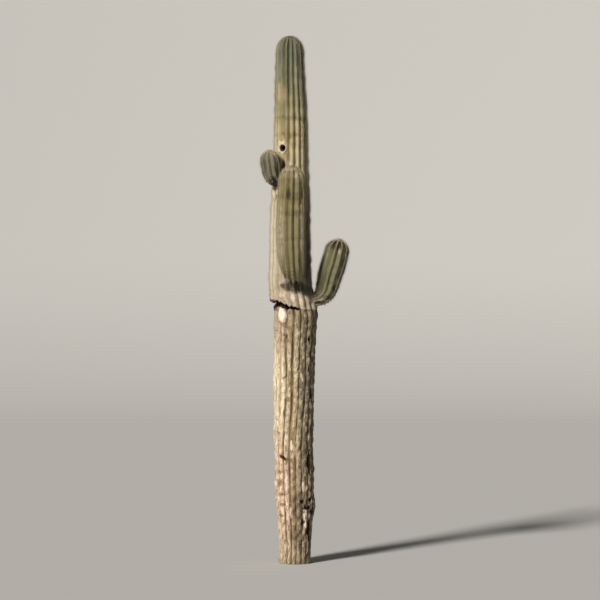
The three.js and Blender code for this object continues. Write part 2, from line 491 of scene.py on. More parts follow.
def ripples(kind, turn, height, turns, waves, count=28, salt=0):
    """Smooth random relief with a spread of 1 that closes round the stem.

    turns is the range of whole waves round it, and waves the range of waves per metre up it.
    """
    draw = np.random.default_rng(RIPPLE_SEEDS[kind] + salt)
    total = np.zeros(np.broadcast(turn, height).shape)
    for _ in range(count):
        around = draw.integers(turns[0], turns[1] + 1)
        upward = draw.uniform(*waves) * draw.choice([-1, 1])
        start = draw.uniform(0, 2 * math.pi)
        total = total + np.cos(2 * math.pi * (around * turn + upward * height) + start)
    return total / math.sqrt(count / 2)


def from_crest(turn, ribs):
    """0 on a rib's crest and 1 in the groove beside it."""
    return 1 - 2 * np.abs((turn * ribs) % 1 - 0.5)


def bearing_of(turn):
    return np.radians(RIB_BEARING) + 2 * math.pi * turn


def half_turns_from(angle, bearing):
    """The angle from a bearing in degrees, from -pi to pi."""
    return (angle - math.radians(bearing) + math.pi) % (2 * math.pi) - math.pi


def spot_distance(turn, height, spot):
    """0 in the middle of a spot on the trunk and 1 on its oval edge."""
    bearing, middle, half_width, half_height, *tilt = spot
    radius = trunk_at(height)[0]
    across = half_turns_from(bearing_of(turn), bearing) * radius
    upward = height - middle
    lean = math.radians(tilt[0]) if tilt else 0
    along = across * math.cos(lean) + upward * math.sin(lean)
    beside = upward * math.cos(lean) - across * math.sin(lean)
    return np.hypot(along / half_width, beside / half_height)


def nearest_spot(turn, height, spots):
    """0 in the middle of the nearest spot and 1 on its oval edge."""
    return np.minimum.reduce([spot_distance(turn, height, spot) for spot in spots])


def spots_at(turn, height, spots, edge=0.55, outer=1.25):
    """1 inside any of the spots, falling to 0 just outside them."""
    return 1 - smoothstep(nearest_spot(turn, height, spots), edge, outer)


def collar_share(angle):
    """1 where the lip overhangs the bark, falling to 0 behind."""
    away = np.abs(half_turns_from(angle, COLLAR_BEARING))
    reach = math.radians(COLLAR_REACH)
    return 1 - smoothstep(away, reach * 0.6, reach)


def collar_gape(angle):
    """1 where the crack gapes at the far left, falling to 0 round the stem."""
    away = np.degrees(half_turns_from(angle, GAPE_BEARING))
    return np.exp(-((away / GAPE_SPREAD) ** 2))


def collar_arch(angle):
    """1 where the lip arches up over the left part of the crack."""
    past = np.degrees(half_turns_from(angle, ARCH_BEARING))
    return smoothstep(past, *ARCH_RISES) * (1 - smoothstep(past, *ARCH_FALLS))


def crack_depth(share):
    """How far the crack goes in, from the collar's share at a place."""
    return CRACK_DEPTH_BEHIND + (CRACK_DEPTH - CRACK_DEPTH_BEHIND) * share


def crack_shade(share):
    """How dark the crack's painted shade is, from the collar's share at a place."""
    return CRACK_SHADE_BEHIND + (1 - CRACK_SHADE_BEHIND) * share


def collar_tilt(angle, height):
    """The collar sits higher on the left and lower in front."""
    reach = 1 - smoothstep(np.abs(height - COLLAR_HEIGHT), 0, COLLAR_TILT_REACH)
    return reach * (COLLAR_FALL_FRONT * np.sin(angle) - COLLAR_RISE_LEFT * np.cos(angle))


def collar_edge(turn, height):
    """The ragged rise and fall of the collar's edge, which fades away from it."""
    fade = 1 - smoothstep(np.abs(height - COLLAR_HEIGHT), 0.02, 0.16)
    uneven = 0.0060 * ripples("lump", turn, 0, (2, 15), (0, 0), 12, salt=5)
    chipped = 0.0028 * ripples("lump", turn, 0, (14, 52), (0, 0), 18, salt=6)
    return fade * (uneven + chipped)


def trunk_points(angle, radius, height, turn):
    drift = trunk_at(height)[1]
    z = height + collar_tilt(angle, height) + collar_edge(turn, height)
    return np.stack([drift + radius * np.cos(angle), radius * np.sin(angle), z], axis=-1)


def crown_rows(height, radius, bluntness, step):
    """Width and height shares of a blunt crown's rings, evenly spaced along its outline."""
    angle = np.linspace(0, math.pi / 2, 400)
    wide = np.cos(angle) ** (2 / bluntness)
    wide[-1] = 0
    tall = np.sin(angle) ** (2 / bluntness)
    way = np.concatenate([[0], np.cumsum(np.hypot(np.diff(wide * radius), np.diff(tall * height)))])
    count = max(4, round(way[-1] / step))
    places = np.linspace(0, way[-1], count + 1)[1:]
    return np.interp(places, way, wide), np.interp(places, way, tall)


# Mesh work


def deselect_all():
    bpy.ops.object.select_all(action="DESELECT")


def rolled_stem(name, columns, rows, shape):
    """A stem's skin: a grid rolled up until its sides meet, and closed at both ends.

    shape turns arrays of turn round the stem and row number into points and named masks.
    """
    deselect_all()
    bpy.ops.mesh.primitive_grid_add(x_subdivisions=columns, y_subdivisions=rows, size=2)
    stem = bpy.context.object
    stem.name = stem.data.name = name
    flat = np.empty(len(stem.data.vertices) * 3)
    stem.data.vertices.foreach_get("co", flat)
    column = np.rint((flat[0::3] + 1) / 2 * columns).astype(int)
    row = np.rint((flat[1::3] + 1) / 2 * rows).astype(int)
    points, masks = shape(column / columns, row)
    stem.data.vertices.foreach_set("co", points.astype(np.float32).ravel())
    for mask_name, values in masks.items():
        layer = stem.data.attributes.new(mask_name, "FLOAT", "POINT")
        layer.data.foreach_set("value", values.astype(np.float32))
    stem.data.update()
    bpy.ops.object.mode_set(mode="EDIT")
    bpy.ops.mesh.select_mode(type="VERT")
    bpy.ops.mesh.select_all(action="SELECT")
    bpy.ops.mesh.remove_doubles(threshold=2e-5)
    bpy.ops.mesh.select_all(action="DESELECT")
    bpy.ops.mesh.select_non_manifold(extend=False)
    bpy.ops.mesh.edge_face_add()
    bpy.ops.mesh.select_all(action="SELECT")
    bpy.ops.mesh.normals_make_consistent(inside=False)
    bpy.ops.object.mode_set(mode="OBJECT")
    bpy.ops.object.shade_smooth()
    grid = np.empty((rows + 1, columns + 1, 3))
    grid[row, column] = points
    return stem, grid


def plant_areoles(name, grid, rows, columns, youth):
    """Keeps where areoles sit on a stem, with the way out and the way up at each."""
    row, column = (a.ravel() for a in np.meshgrid(rows, columns, indexing="ij"))
    last_row = grid.shape[0] - 1
    width = grid.shape[1] - 1
    here = grid[row, column]
    up = grid[np.minimum(row + 1, last_row), column] - grid[row - 1, column]
    side = grid[row, (column + 2) % width] - grid[row, (column - 2) % width]
    up /= np.linalg.norm(up, axis=1, keepdims=True)
    out = np.cross(side, up)
    out /= np.linalg.norm(out, axis=1, keepdims=True)
    clear = clear_of_others(name, here)
    tufts = {"at": here, "up": up, "out": out, "youth": youth(row)}
    planted[name] = {key: value[clear] for key, value in tufts.items()}


def clear_of_others(name, places):
    """Which places on a stem lie outside the other stems and the nest hole's callus."""
    middle, _ = nest_axes()
    clear = np.linalg.norm(places - np.array(middle), axis=1) > NEST_CLEARING
    for other, arm in ARMS.items():
        if other != name:
            at, reach, _ = arm_axis(arm)
            x, y, z, radius = at(np.linspace(0, reach, 40))
            axis = np.stack([x, y, z], axis=-1)
            away = np.linalg.norm(places[:, None, :] - axis[None, :, :], axis=2)
            clear &= np.all(away > radius[None, :] + STEM_CLEARING, axis=1)
    if name in ARMS:
        radius, drift, _ = trunk_at(places[:, 2])
        clear &= np.hypot(places[:, 0] - drift, places[:, 1]) > radius + STEM_CLEARING
    return clear


def extrude_rings(rings):
    """Extrudes the selected first ring through the others. Each has a radius and a height."""
    for (radius, height), (next_radius, next_height) in zip(rings, rings[1:]):
        bpy.ops.mesh.extrude_region_move(
            TRANSFORM_OT_translate={"value": (0, 0, next_height - height)})
        grow = next_radius / radius
        bpy.ops.transform.resize(value=(grow, grow, 1), center_override=(0, 0, next_height))


def mesh_of(name, corners, faces, materials, face_materials=None):
    """A mesh object from arrays of corners and of triangles."""
    mesh = bpy.data.meshes.new(name)
    mesh.from_pydata(corners.tolist(), [], faces.tolist())
    for material in materials:
        mesh.materials.append(material)
    if face_materials is not None:
        mesh.polygons.foreach_set("material_index", face_materials.astype(np.int32))
    mesh.update()
    piece = bpy.data.objects.new(name, mesh)
    bpy.context.scene.collection.objects.link(piece)
    return piece


def seated(piece, slot, *nodes):
    """Rides the piece on the plant's only body and hides the solids it stands for. The slot is not
    used.
    """
    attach(piece, "root")
    if nodes:
        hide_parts(*nodes)
    return piece


# Materials


def add_node(tree, kind, **settings):
    node = tree.nodes.new(kind)
    for name, value in settings.items():
        setattr(node, name, value)
    return node


def feed(tree, value, socket):
    """Links a socket, or sets a plain number or colour."""
    if isinstance(value, bpy.types.NodeSocket):
        tree.links.new(value, socket)
    elif hasattr(value, "__len__") and len(value) == 3 and socket.type == "RGBA":
        socket.default_value = (*value, 1)
    else:
        socket.default_value = value


def calculate(tree, operation, first, second):
    node = add_node(tree, "ShaderNodeMath", operation=operation)
    feed(tree, first, node.inputs[0])
    feed(tree, second, node.inputs[1])
    return node.outputs[0]


def times(tree, first, second):
    return calculate(tree, "MULTIPLY", first, second)


def plus(tree, first, second):
    return calculate(tree, "ADD", first, second)


def rest_of(tree, share):
    """What a share leaves of 1."""
    return calculate(tree, "SUBTRACT", 1.0, share)


def swing(tree, cloud, width):
    """A cloud as a rise and fall about 0."""
    return times(tree, calculate(tree, "SUBTRACT", cloud, 0.5), width)


def ranged(tree, share, low, width):
    """A share from 0 to 1 brought to the range from low to low + width."""
    return plus(tree, times(tree, share, width), low)


def between(tree, value, low, high):
    """0 below low and 1 above high, with a smooth step."""
    node = add_node(tree, "ShaderNodeMapRange", interpolation_type="SMOOTHSTEP")
    feed(tree, value, node.inputs["Value"])
    node.inputs["From Min"].default_value = low
    node.inputs["From Max"].default_value = high
    return node.outputs["Result"]


def patchy(tree, cloud, low, high, most):
    """Where a cloud is above low, up to a share of most."""
    return times(tree, between(tree, cloud, low, high), most)


def blend(tree, share, first, second, kind="MIX"):
    node = add_node(tree, "ShaderNodeMix", data_type="RGBA", blend_type=kind)
    feed(tree, share, node.inputs["Factor"])
    feed(tree, first, node.inputs[MIX_COLOUR_A])
    feed(tree, second, node.inputs[MIX_COLOUR_B])
    return node.outputs[MIX_COLOUR_RESULT]


def place_of(tree, stretch=(1, 1, 1), shift=(0, 0, 0)):
    """Object coordinates, stretched and shifted."""
    coordinates = add_node(tree, "ShaderNodeTexCoord")
    mapping = add_node(tree, "ShaderNodeMapping")
    mapping.inputs["Scale"].default_value = stretch
    mapping.inputs["Location"].default_value = shift
    tree.links.new(coordinates.outputs["Object"], mapping.inputs["Vector"])
    return mapping.outputs["Vector"]


def noise(tree, stretch, detail=3.0, roughness=0.55, shift=(0, 0, 0)):
    """Cloudy noise from 0 to 1. stretch is its scale along X, Y and Z, per metre."""
    node = add_node(tree, "ShaderNodeTexNoise")
    tree.links.new(place_of(tree, stretch, shift), node.inputs["Vector"])
    node.inputs["Scale"].default_value = 1
    node.inputs["Detail"].default_value = detail
    node.inputs["Roughness"].default_value = roughness
    return node.outputs["Fac"]


def mask(tree, name):
    """A mask that the stem's mesh carries at its points."""
    return add_node(tree, "ShaderNodeAttribute", attribute_name=name).outputs["Fac"]


def height_of(tree):
    """Height above the ground."""
    coordinates = add_node(tree, "ShaderNodeTexCoord")
    split = add_node(tree, "ShaderNodeSeparateXYZ")
    tree.links.new(coordinates.outputs["Object"], split.inputs[0])
    return split.outputs["Z"]


def ramp(tree, value, stops):
    """Colours along a value. stops are pairs of place and colour."""
    node = add_node(tree, "ShaderNodeValToRGB")
    feed(tree, value, node.inputs["Fac"])
    elements = node.color_ramp.elements
    while len(elements) < len(stops):
        elements.new(0.5)
    for element, (place, tint) in zip(elements, stops):
        element.position = place
        element.color = (*tint, 1)
    return node.outputs["Color"]


def bump(tree, height, distance, strength=1.0, under=None):
    node = add_node(tree, "ShaderNodeBump")
    node.inputs["Strength"].default_value = strength
    node.inputs["Distance"].default_value = distance
    tree.links.new(height, node.inputs["Height"])
    if under is not None:
        tree.links.new(under, node.inputs["Normal"])
    return node.outputs["Normal"]


def new_material(name, roughness, shine=0.3):
    material = bpy.data.materials.new(name)
    material.use_nodes = True
    shader = material.node_tree.nodes["Principled BSDF"]
    shader.inputs["Roughness"].default_value = roughness
    shader.inputs["Specular IOR Level"].default_value = shine
    return material, material.node_tree, shader


def plates(tree, stretch, warp):
    """How far the nearest plate's edge is, and a random tone for each plate."""
    place = add_node(tree, "ShaderNodeTexCoord").outputs["Object"]
    cloud = add_node(tree, "ShaderNodeTexNoise")
    tree.links.new(place, cloud.inputs["Vector"])
    cloud.inputs["Scale"].default_value = 16
    cloud.inputs["Detail"].default_value = 3
    centred = add_node(tree, "ShaderNodeVectorMath", operation="SUBTRACT")
    tree.links.new(cloud.outputs["Color"], centred.inputs[0])
    centred.inputs[1].default_value = (0.5, 0.5, 0.5)
    scaled = add_node(tree, "ShaderNodeVectorMath", operation="SCALE")
    tree.links.new(centred.outputs[0], scaled.inputs[0])
    scaled.inputs["Scale"].default_value = warp * 2
    moved = add_node(tree, "ShaderNodeVectorMath", operation="ADD")
    tree.links.new(place, moved.inputs[0])
    tree.links.new(scaled.outputs[0], moved.inputs[1])
    stretched = add_node(tree, "ShaderNodeVectorMath", operation="MULTIPLY")
    tree.links.new(moved.outputs[0], stretched.inputs[0])
    stretched.inputs[1].default_value = stretch
    edges = add_node(tree, "ShaderNodeTexVoronoi", feature="DISTANCE_TO_EDGE")
    cells = add_node(tree, "ShaderNodeTexVoronoi", feature="F1")
    for node in (edges, cells):
        tree.links.new(stretched.outputs[0], node.inputs["Vector"])
        node.inputs["Scale"].default_value = 1
    split = add_node(tree, "ShaderNodeSeparateColor")
    tree.links.new(cells.outputs["Color"], split.inputs[0])
    return edges.outputs["Distance"], split.outputs[0]


def ragged(tree, mark, cloud, low=0.62, high=0.92):
    """A mark whose edge and weaker parts are broken up by cloudy noise."""
    both = plus(tree, times(tree, cloud, 0.9), times(tree, mark, 1.1))
    return times(tree, calculate(tree, "POWER", mark, 0.6), between(tree, both, low, high))


def skin_material(name, stops, colours):
    """Waxy ribbed skin: its colours follow its age, with mottles, stains, corky scars and painted
    shade.
    """
    material, tree, shader = new_material(name, 0.62, 0.28)
    blotches = noise(tree, (7, 7, 3), 4)
    mottle = noise(tree, (34, 34, 22), 3, 0.6, (3, 1, 7))
    streaks = noise(tree, (16, 16, 1.1), 3, 0.6, (9, 4, 2))
    grain = noise(tree, (190, 190, 120), 2, 0.6)
    wrinkles = noise(tree, (14, 14, 85), 3, 0.6, (5, 8, 1))
    speckles = noise(tree, (60, 60, 60), 5, 0.7, (7, 3, 2))
    flake_edge, flake_tone = plates(tree, (66, 66, 24), 0.020)

    # The living skin by its age, its greener blotches, brown stains and painted shade in the
    # grooves and under the front arm, partly a greener tone
    base = ramp(tree, plus(tree, mask(tree, "age"), swing(tree, blotches, 0.30)), stops)
    base = blend(tree, patchy(tree, mottle, 0.50, 0.78, 0.38), base, colours.olive_mottle)
    streaky = patchy(tree, streaks, 0.50, 0.80, 0.55)
    for stained in (streaky, ragged(tree, mask(tree, "stain"), mottle)):
        base = blend(tree, stained, base, colours.brown_stain, "MULTIPLY")
    in_groove = calculate(tree, "POWER", mask(tree, "groove"), 2.6)
    base = blend(tree, times(tree, in_groove, 0.42), base, colours.olive_and_groove_shade)

    # Cork on old skin, in paler flakes between cracks
    cork = mask(tree, "cork")
    oldest = calculate(tree, "POWER", cork, 1.6)
    base = blend(tree, times(tree, cork, between(tree, mottle, 0.30, 0.62)), base,
                 colours.bark_tan)
    flakes = times(tree, oldest, between(tree, flake_tone, 0.45, 0.95))
    base = blend(tree, times(tree, flakes, 0.50), base, colours.cork_light)
    flake_cracks = times(tree, times(tree, oldest, between(tree, speckles, 0.44, 0.60)),
                         rest_of(tree, between(tree, flake_edge, 0.010, 0.120)))
    base = blend(tree, times(tree, flake_cracks, 0.60), base, colours.bark_fibre)

    # Marks that have a place of their own. The scar mark also carries painted shade under the lip,
    # and the pale mark is partly painted light on the front arm and the collar's swellings
    healed = blend(tree, between(tree, speckles, 0.42, 0.72), colours.callus,
                   colours.healed_brown)
    marks = {"warm": colours.warm_skin, "pale": healed, "scar": colours.scar_and_lip_shade}
    for mark, tint in marks.items():
        base = blend(tree, ragged(tree, mask(tree, mark), mottle), base, tint)
    # Painted shade on the side away from the key light and round the arms and the bud
    shaded_share = ragged(tree, mask(tree, "grime"), mottle, 0.50, 0.80)
    base = blend(tree, shaded_share, base, colours.grime, "MULTIPLY")
    # Painted shade in the nest hole and on the lip's lower edge where the crack gapes
    base = blend(tree, mask(tree, "hole"), base, colours.painted_hole_shade)
    base = blend(tree, 1.0, base, ranged(tree, grain, 0.90, 0.20), "MULTIPLY")
    feed(tree, base, shader.inputs["Base Color"])

    flaky = bump(tree, rest_of(tree, flake_cracks), 0.003, 0.6)
    wrinkled = bump(tree, wrinkles, 0.004, 0.5, flaky)
    feed(tree, bump(tree, grain, 0.0012, 0.5, wrinkled), shader.inputs["Normal"])
    feed(tree, ranged(tree, mottle, 0.42, 0.30), shader.inputs["Roughness"])
    return material


def bark_material(colours):
    """Old corky bark: tan and pinkish plates between dark cracks, greyer on one side, with painted
    shade.
    """
    material, tree, shader = new_material("corky_bark", 0.9, 0.15)
    blotches = noise(tree, (5, 5, 1.8), 4, 0.55, (2, 6, 1))
    mottle = noise(tree, (26, 26, 14), 4, 0.6, (4, 2, 8))
    fibres = noise(tree, (75, 75, 9), 4, 0.65, (1, 3, 5))
    crumbs = noise(tree, (150, 150, 110), 3, 0.65)
    large_edge, large_tone = plates(tree, (34, 34, 6), 0.014)
    small_edge, small_tone = plates(tree, (85, 85, 24), 0.008)

    # Its colour by height, its plates and fibres, and reddish brown patches
    height = height_of(tree)
    level = plus(tree, calculate(tree, "DIVIDE", height, BARK_COLOUR_TOP),
                 swing(tree, blotches, 0.35))
    base = ramp(tree, level, [
        (0.00, colours.bark_foot),
        (0.10, colours.bark_pink),
        (0.38, colours.bark_pink),
        (0.52, colours.bark_cream),
        (0.74, colours.bark_cream),
        (0.88, colours.bark_tan),
    ])
    brown = times(tree, ragged(tree, mask(tree, "brown"), mottle, 0.50, 0.78), 0.90)
    for share, tint in (
        (patchy(tree, large_tone, 0.45, 0.95, 0.55), colours.bark_shade),
        (patchy(tree, small_tone, 0.60, 1.0, 0.40), colours.bark_light),
        (patchy(tree, fibres, 0.50, 0.75, 0.45), colours.bark_fibre),
        (brown, colours.bark_brown),
    ):
        base = blend(tree, share, base, tint)

    # Olive and then grey on the side that weathers, which is also painted shade away from the key
    # light, and painted shade in the grooves
    uneven = ranged(tree, between(tree, mottle, 0.35, 0.60), 0.50, 0.45)
    weathered = times(tree, mask(tree, "weathered"), uneven)
    olive = blend(tree, 0.42, colours.bark_olive, base)
    base = blend(tree, between(tree, weathered, 0.0, 0.50), base, olive)
    base = blend(tree, between(tree, weathered, 0.42, 0.95), base, colours.bark_grey)
    in_groove = calculate(tree, "POWER", mask(tree, "groove"), 3.0)
    base = blend(tree, times(tree, in_groove, 0.55), base, colours.bark_fibre)

    # Cracks between the plates, weaker higher up, and the cracks that the mesh has, which also
    # carry painted shade in the middle of the far side
    large_crack = rest_of(tree, between(tree, large_edge, 0.015, 0.11))
    small_crack = times(tree, rest_of(tree, between(tree, small_edge, 0.02, 0.14)), 0.55)
    weaker_above = rest_of(tree, patchy(tree, height, 0.9, 1.9, 0.45))
    plate_cracks = times(tree, calculate(tree, "MAXIMUM", large_crack, small_crack),
                         times(tree, between(tree, mottle, 0.36, 0.66), weaker_above))
    cracks = calculate(tree, "MAXIMUM", plate_cracks, mask(tree, "crack"))
    base = blend(tree, times(tree, cracks, 0.85), base, colours.crack_dark)

    # The pale scab and specks, and painted shade in the pits, the notch, the collar's crack and its
    # flap, with darker knots
    scabby = blend(tree, between(tree, fibres, 0.48, 0.78), colours.scab, colours.scab_shade)
    base = blend(tree, ragged(tree, mask(tree, "pale"), mottle, 0.66, 0.86), base, scabby)
    base = blend(tree, ragged(tree, mask(tree, "scar"), mottle, 0.72, 0.86), base,
                 colours.knot_brown_and_pit_shade)
    base = blend(tree, 1.0, base, ranged(tree, crumbs, 0.80, 0.40), "MULTIPLY")
    feed(tree, base, shader.inputs["Base Color"])

    cracked = bump(tree, rest_of(tree, plate_cracks), 0.006, 0.8)
    fibrous = bump(tree, fibres, 0.006, 0.7, cracked)
    feed(tree, bump(tree, crumbs, 0.002, 0.8, fibrous), shader.inputs["Normal"])
    return material


def lining_material(colours):
    """The nest hole's lining, painted near black as shade, with paler crumbs."""
    material, tree, shader = new_material("nest_lining", 0.95, 0.2)
    crumbs = noise(tree, (110, 110, 70), 4, 0.6, (2, 5, 9))
    base = blend(tree, between(tree, crumbs, 0.46, 0.74), colours.painted_hole_shade,
                 colours.lining_crumb)
    feed(tree, base, shader.inputs["Base Color"])
    feed(tree, bump(tree, crumbs, 0.003, 0.7), shader.inputs["Normal"])
    return material


def plain_growth_material(name, tint, roughness):
    """One dry colour, for felt and spines, whose pieces are too fine for a pattern."""
    material, _, shader = new_material(name, roughness, 0.2)
    shader.inputs["Base Color"].default_value = (*tint, 1)
    return material


# Sizes and colours that a user would change


def length(name, description, default):
    return bpy.props.FloatProperty(
        name=name, description=description, default=default, min=0.0, unit="LENGTH")


def colour(name, description, default):
    return bpy.props.FloatVectorProperty(
        name=name, description=description, default=default, min=0.0, max=1.0, subtype="COLOR")


class CactusSizes(bpy.types.PropertyGroup):
    height: length("Height", "From the ground to the top of the trunk's skin, under its spines",
                   CAD_BOX[1][2] - SPINE_REACH)
    crown_height: length("Crown height", "Height of the trunk's rounded tip", 0.170)
    trunk_ribs: bpy.props.IntProperty(
        name="Trunk ribs", description="Ribs round the trunk", default=18, min=6)
    rib_roundness: bpy.props.FloatProperty(
        name="Rib roundness", description="Higher keeps the crests broad", default=1.65, min=1.0)
    areole_step: length("Areole spacing", "Distance between spine tufts on the trunk", 0.027)
    fissure_depth: length("Fissure depth", "Depth of the cracks in the bark", 0.0085)
    nest_depth: length("Nest depth", "How far the nest hole goes in", 0.125)


class SpineSizes(bpy.types.PropertyGroup):
    radial_count: bpy.props.IntProperty(
        name="Radial spines", description="Short spines round each tuft", default=11, min=3)
    central_count: bpy.props.IntProperty(
        name="Central spines", description="Long spines in each tuft", default=6, min=1)
    radial_length: length("Radial length", "Length of a short spine", 0.019)
    central_length: length("Central length", "Length of a long spine", 0.034)
    thickness: length("Thickness", "Thickness of a spine at its foot", 0.0016)


class CactusColours(bpy.types.PropertyGroup):
    tip_skin: colour("Tip skin", "Skin of the trunk's tip", (0.076, 0.089, 0.063))
    young_skin: colour("Young skin", "Skin under the tip", (0.126, 0.143, 0.096))
    khaki_skin: colour("Khaki skin", "Skin of the upper trunk", (0.266, 0.240, 0.126))
    yellow_skin: colour("Yellow skin", "Skin above the nest hole", (0.455, 0.375, 0.205))
    cream_skin: colour("Cream skin", "Old skin above the collar", (0.500, 0.450, 0.325))
    collar_skin: colour("Collar skin", "Corky skin at the lip", (0.400, 0.325, 0.220))
    arm_young: colour("Young arm skin", "Skin of an arm's upper part", (0.172, 0.143, 0.052))
    arm_old: colour("Old arm skin", "Skin of an arm's base", (0.208, 0.178, 0.084))
    grey_arm: colour("Grey arm skin", "Skin of the right arm", (0.128, 0.128, 0.062))
    bud_skin: colour("Bud skin", "Skin of the arm bud", (0.155, 0.145, 0.098))
    olive_mottle: colour("Olive mottle", "Greener blotches in the skin", (0.185, 0.185, 0.085))
    warm_skin: colour("Warm patches", "Pinkish worn patches", (0.470, 0.350, 0.230))
    brown_stain: colour("Brown stain", "What brown streaks leave of the skin's colour",
                        (0.560, 0.490, 0.400))
    # Painted shade: what the skin's colour is multiplied by where shade is painted
    grime: colour("Grime", "What dark grime leaves of the skin's colour", (0.165, 0.155, 0.132))
    # Painted shade in the grooves and under the front arm, partly a greener tone, and dark olive
    # spots
    olive_and_groove_shade: colour("Groove shade", "Skin deep in the grooves", (0.130, 0.108, 0.052))
    bark_cream: colour("Cream bark", "Palest bark", (0.810, 0.695, 0.480))
    bark_tan: colour("Tan bark", "Bark under the collar", (0.430, 0.345, 0.255))
    bark_pink: colour("Pinkish bark", "Bark near the ground", (0.780, 0.562, 0.412))
    bark_foot: colour("Foot bark", "Bark at ground level", (0.450, 0.370, 0.250))
    bark_shade: colour("Shaded bark", "Darker plates", (0.430, 0.315, 0.195))
    bark_light: colour("Light bark", "Palest plates", (0.900, 0.740, 0.560))
    bark_fibre: colour("Fibrous bark", "Fibres in the bark", (0.300, 0.215, 0.125))
    bark_brown: colour("Brown bark", "Reddish brown patches", (0.205, 0.138, 0.085))
    bark_olive: colour("Olive bark", "Bark that is a little weathered", (0.290, 0.225, 0.115))
    bark_grey: colour("Grey bark", "Weathered bark", (0.165, 0.145, 0.110))
    crack_dark: colour("Cracks", "Bottom of the bark's cracks", (0.095, 0.058, 0.032))
    # Painted shade in the pits, the notch, the collar's crack and its flap, and part of the knots'
    # tone
    knot_brown_and_pit_shade: colour("Pits", "Holes and the crack at the collar", (0.030, 0.017, 0.010))
    # Dry scars, and the painted shade under the collar's lip
    scar_and_lip_shade: colour("Scars", "Dry scars on the skin", (0.130, 0.070, 0.038))
    callus: colour("Callus", "Healed skin round the nest hole", (0.600, 0.495, 0.395))
    healed_brown: colour("Brown callus", "Browner flecks in healed skin", (0.330, 0.240, 0.160))
    scab: colour("Scab", "Pale scab and specks on the bark", (0.860, 0.715, 0.610))
    scab_shade: colour("Scab's cracks", "Darker flecks in the scab", (0.520, 0.370, 0.270))
    cork_light: colour("Cork flakes", "Paler flakes of the skin's cork", (0.560, 0.480, 0.370))
    arm_tip: colour("Right arm's tip", "Skin of the right arm's tip", (0.060, 0.052, 0.028))
    arm_foot: colour("Right arm's foot", "Skin of the right arm's base", (0.270, 0.235, 0.165))
    felt: colour("Felt", "Felt pads under the spines", (0.300, 0.255, 0.180))
    straw_spine: colour("Straw spines", "Younger spines", (0.560, 0.470, 0.300))
    grey_spine: colour("Grey spines", "Older spines", (0.360, 0.330, 0.270))
    dark_spine: colour("Dark spines", "Spines with dark tips", (0.150, 0.110, 0.070))
    # Painted shade in the nest hole: its lining and the skin pressed in behind its rim
    painted_hole_shade: colour("Hole lining", "Dry lining of the nest hole", (0.022, 0.014, 0.009))
    lining_crumb: colour("Lining crumbs", "Paler crumbs in that lining", (0.062, 0.041, 0.027))


class StageLook(bpy.types.PropertyGroup):
    floor_colour: colour("Floor", "Colour of the studio floor", (0.54, 0.532, 0.518))
    key_strength: bpy.props.FloatProperty(
        name="Key light", description="Strength of the soft key light", default=4.4, min=0.0)
    fill_strength: bpy.props.FloatProperty(
        name="Fill light", description="Strength of the light all round", default=0.07, min=0.0)
    key_bearing: bpy.props.FloatProperty(
        name="Key bearing", description="Where the key light comes from", default=237.0)
    key_elevation: bpy.props.FloatProperty(
        name="Key elevation", description="Height of the key light", default=31.0)
    lens: bpy.props.FloatProperty(
        name="Lens", description="Focal length in millimetres", default=120.0, min=1.0)


def colours_now():
    return bpy.context.scene.cactus_colours


def sizes_now():
    return bpy.context.scene.cactus_sizes


# Pieces


class CACTUS_OT_bark(bpy.types.Operator):
    """Corky bark of the lower trunk, up into the collar"""

    bl_idname = "cactus.bark"
    bl_label = "Bark"

    def execute(self, context):
        sizes = sizes_now()
        wall = np.linspace(0, BARK_END, BARK_RINGS + 1)
        shoulder = np.linspace(0, 1, SHOULDER_RINGS + 1)[1:]
        height = np.concatenate([wall, np.full(SHOULDER_RINGS + 3, BARK_END)])
        rounding = np.concatenate([np.zeros(len(wall)), shoulder, [1, 1, 1]])
        core = np.concatenate([np.zeros(len(wall) + SHOULDER_RINGS), [0.35, 1, 1]])
        last = len(height) - 1

        def shape(turn, row):
            angle = bearing_of(turn)
            share = collar_share(angle)
            gape = collar_gape(angle)
            nominal = height[row]
            radius, _, groove_depth = trunk_at(nominal)
            wander = 0.0018 * ripples("wander", turn, nominal, (1, 6), (0.1, 0.9), 14)
            wander = wander + 0.0012 * ripples("wander", turn, nominal, (3, 16), (1, 5), 20)
            wander = wander - rib_turn(nominal)
            crest = from_crest(turn + wander, sizes.trunk_ribs)
            relief, masks = bark_relief(turn, nominal, crest, sizes)

            # The wall's top rounds over into the crack, and its last rings close it inside
            inset = crack_depth(share) - FLAP_DEPTH * gape
            inset = inset * (1 - np.cos(rounding[row] * math.pi / 2)) + 0.05 * core[row]
            rise = (0.006 + 0.008 * share) * np.sin(rounding[row] * math.pi / 2)
            near_top = smoothstep(nominal, BARK_END - 0.10, BARK_END)
            broken = 0.0045 * ripples("check", turn, 0, (6, 40), (0, 0), 20, salt=7) * share
            stretch = (0.020 * (1 - share) + broken - 0.5 * GAPE_HEIGHT * gape) * near_top
            radius = radius - groove_depth * crest**2.0 + relief - inset
            radius = np.where(row == last, 0, radius)
            z = nominal + stretch + rise + core[row] * 0.055
            points = trunk_points(angle, radius, z, turn)
            points[row == 0, 2] = 0

            # Painted shade in the crack's rounded wall and on the flap where the crack gapes
            dark = smoothstep(rounding[row], 0.2, 0.7) * crack_shade(share)
            flap = gape * smoothstep(nominal, BARK_END - 0.05, BARK_END - 0.01)
            masks["scar"] = np.maximum(masks["scar"], np.maximum(dark, flap))
            return points, masks

        columns = sizes.trunk_ribs * COLUMNS_PER_TRUNK_RIB
        bark, grid = rolled_stem("trunk_bark", columns, last, shape)
        bark.data.materials.append(bark_material(colours_now()))
        seated(bark, "trunk_skin")
        rows = np.arange(STUB_START, len(wall) - STUB_END, STUB_STEP)
        crests = np.arange(0, columns, COLUMNS_PER_TRUNK_RIB)
        plant_areoles("bark", grid, rows, crests, lambda r: 0 * r)
        return {"FINISHED"}


def rib_turn(height):
    """How far the bark's ribs are turned, as a part of a round."""
    return RIB_TURN * (1 - smoothstep(height, RIB_TURN_LOW, RIB_TURN_HIGH))


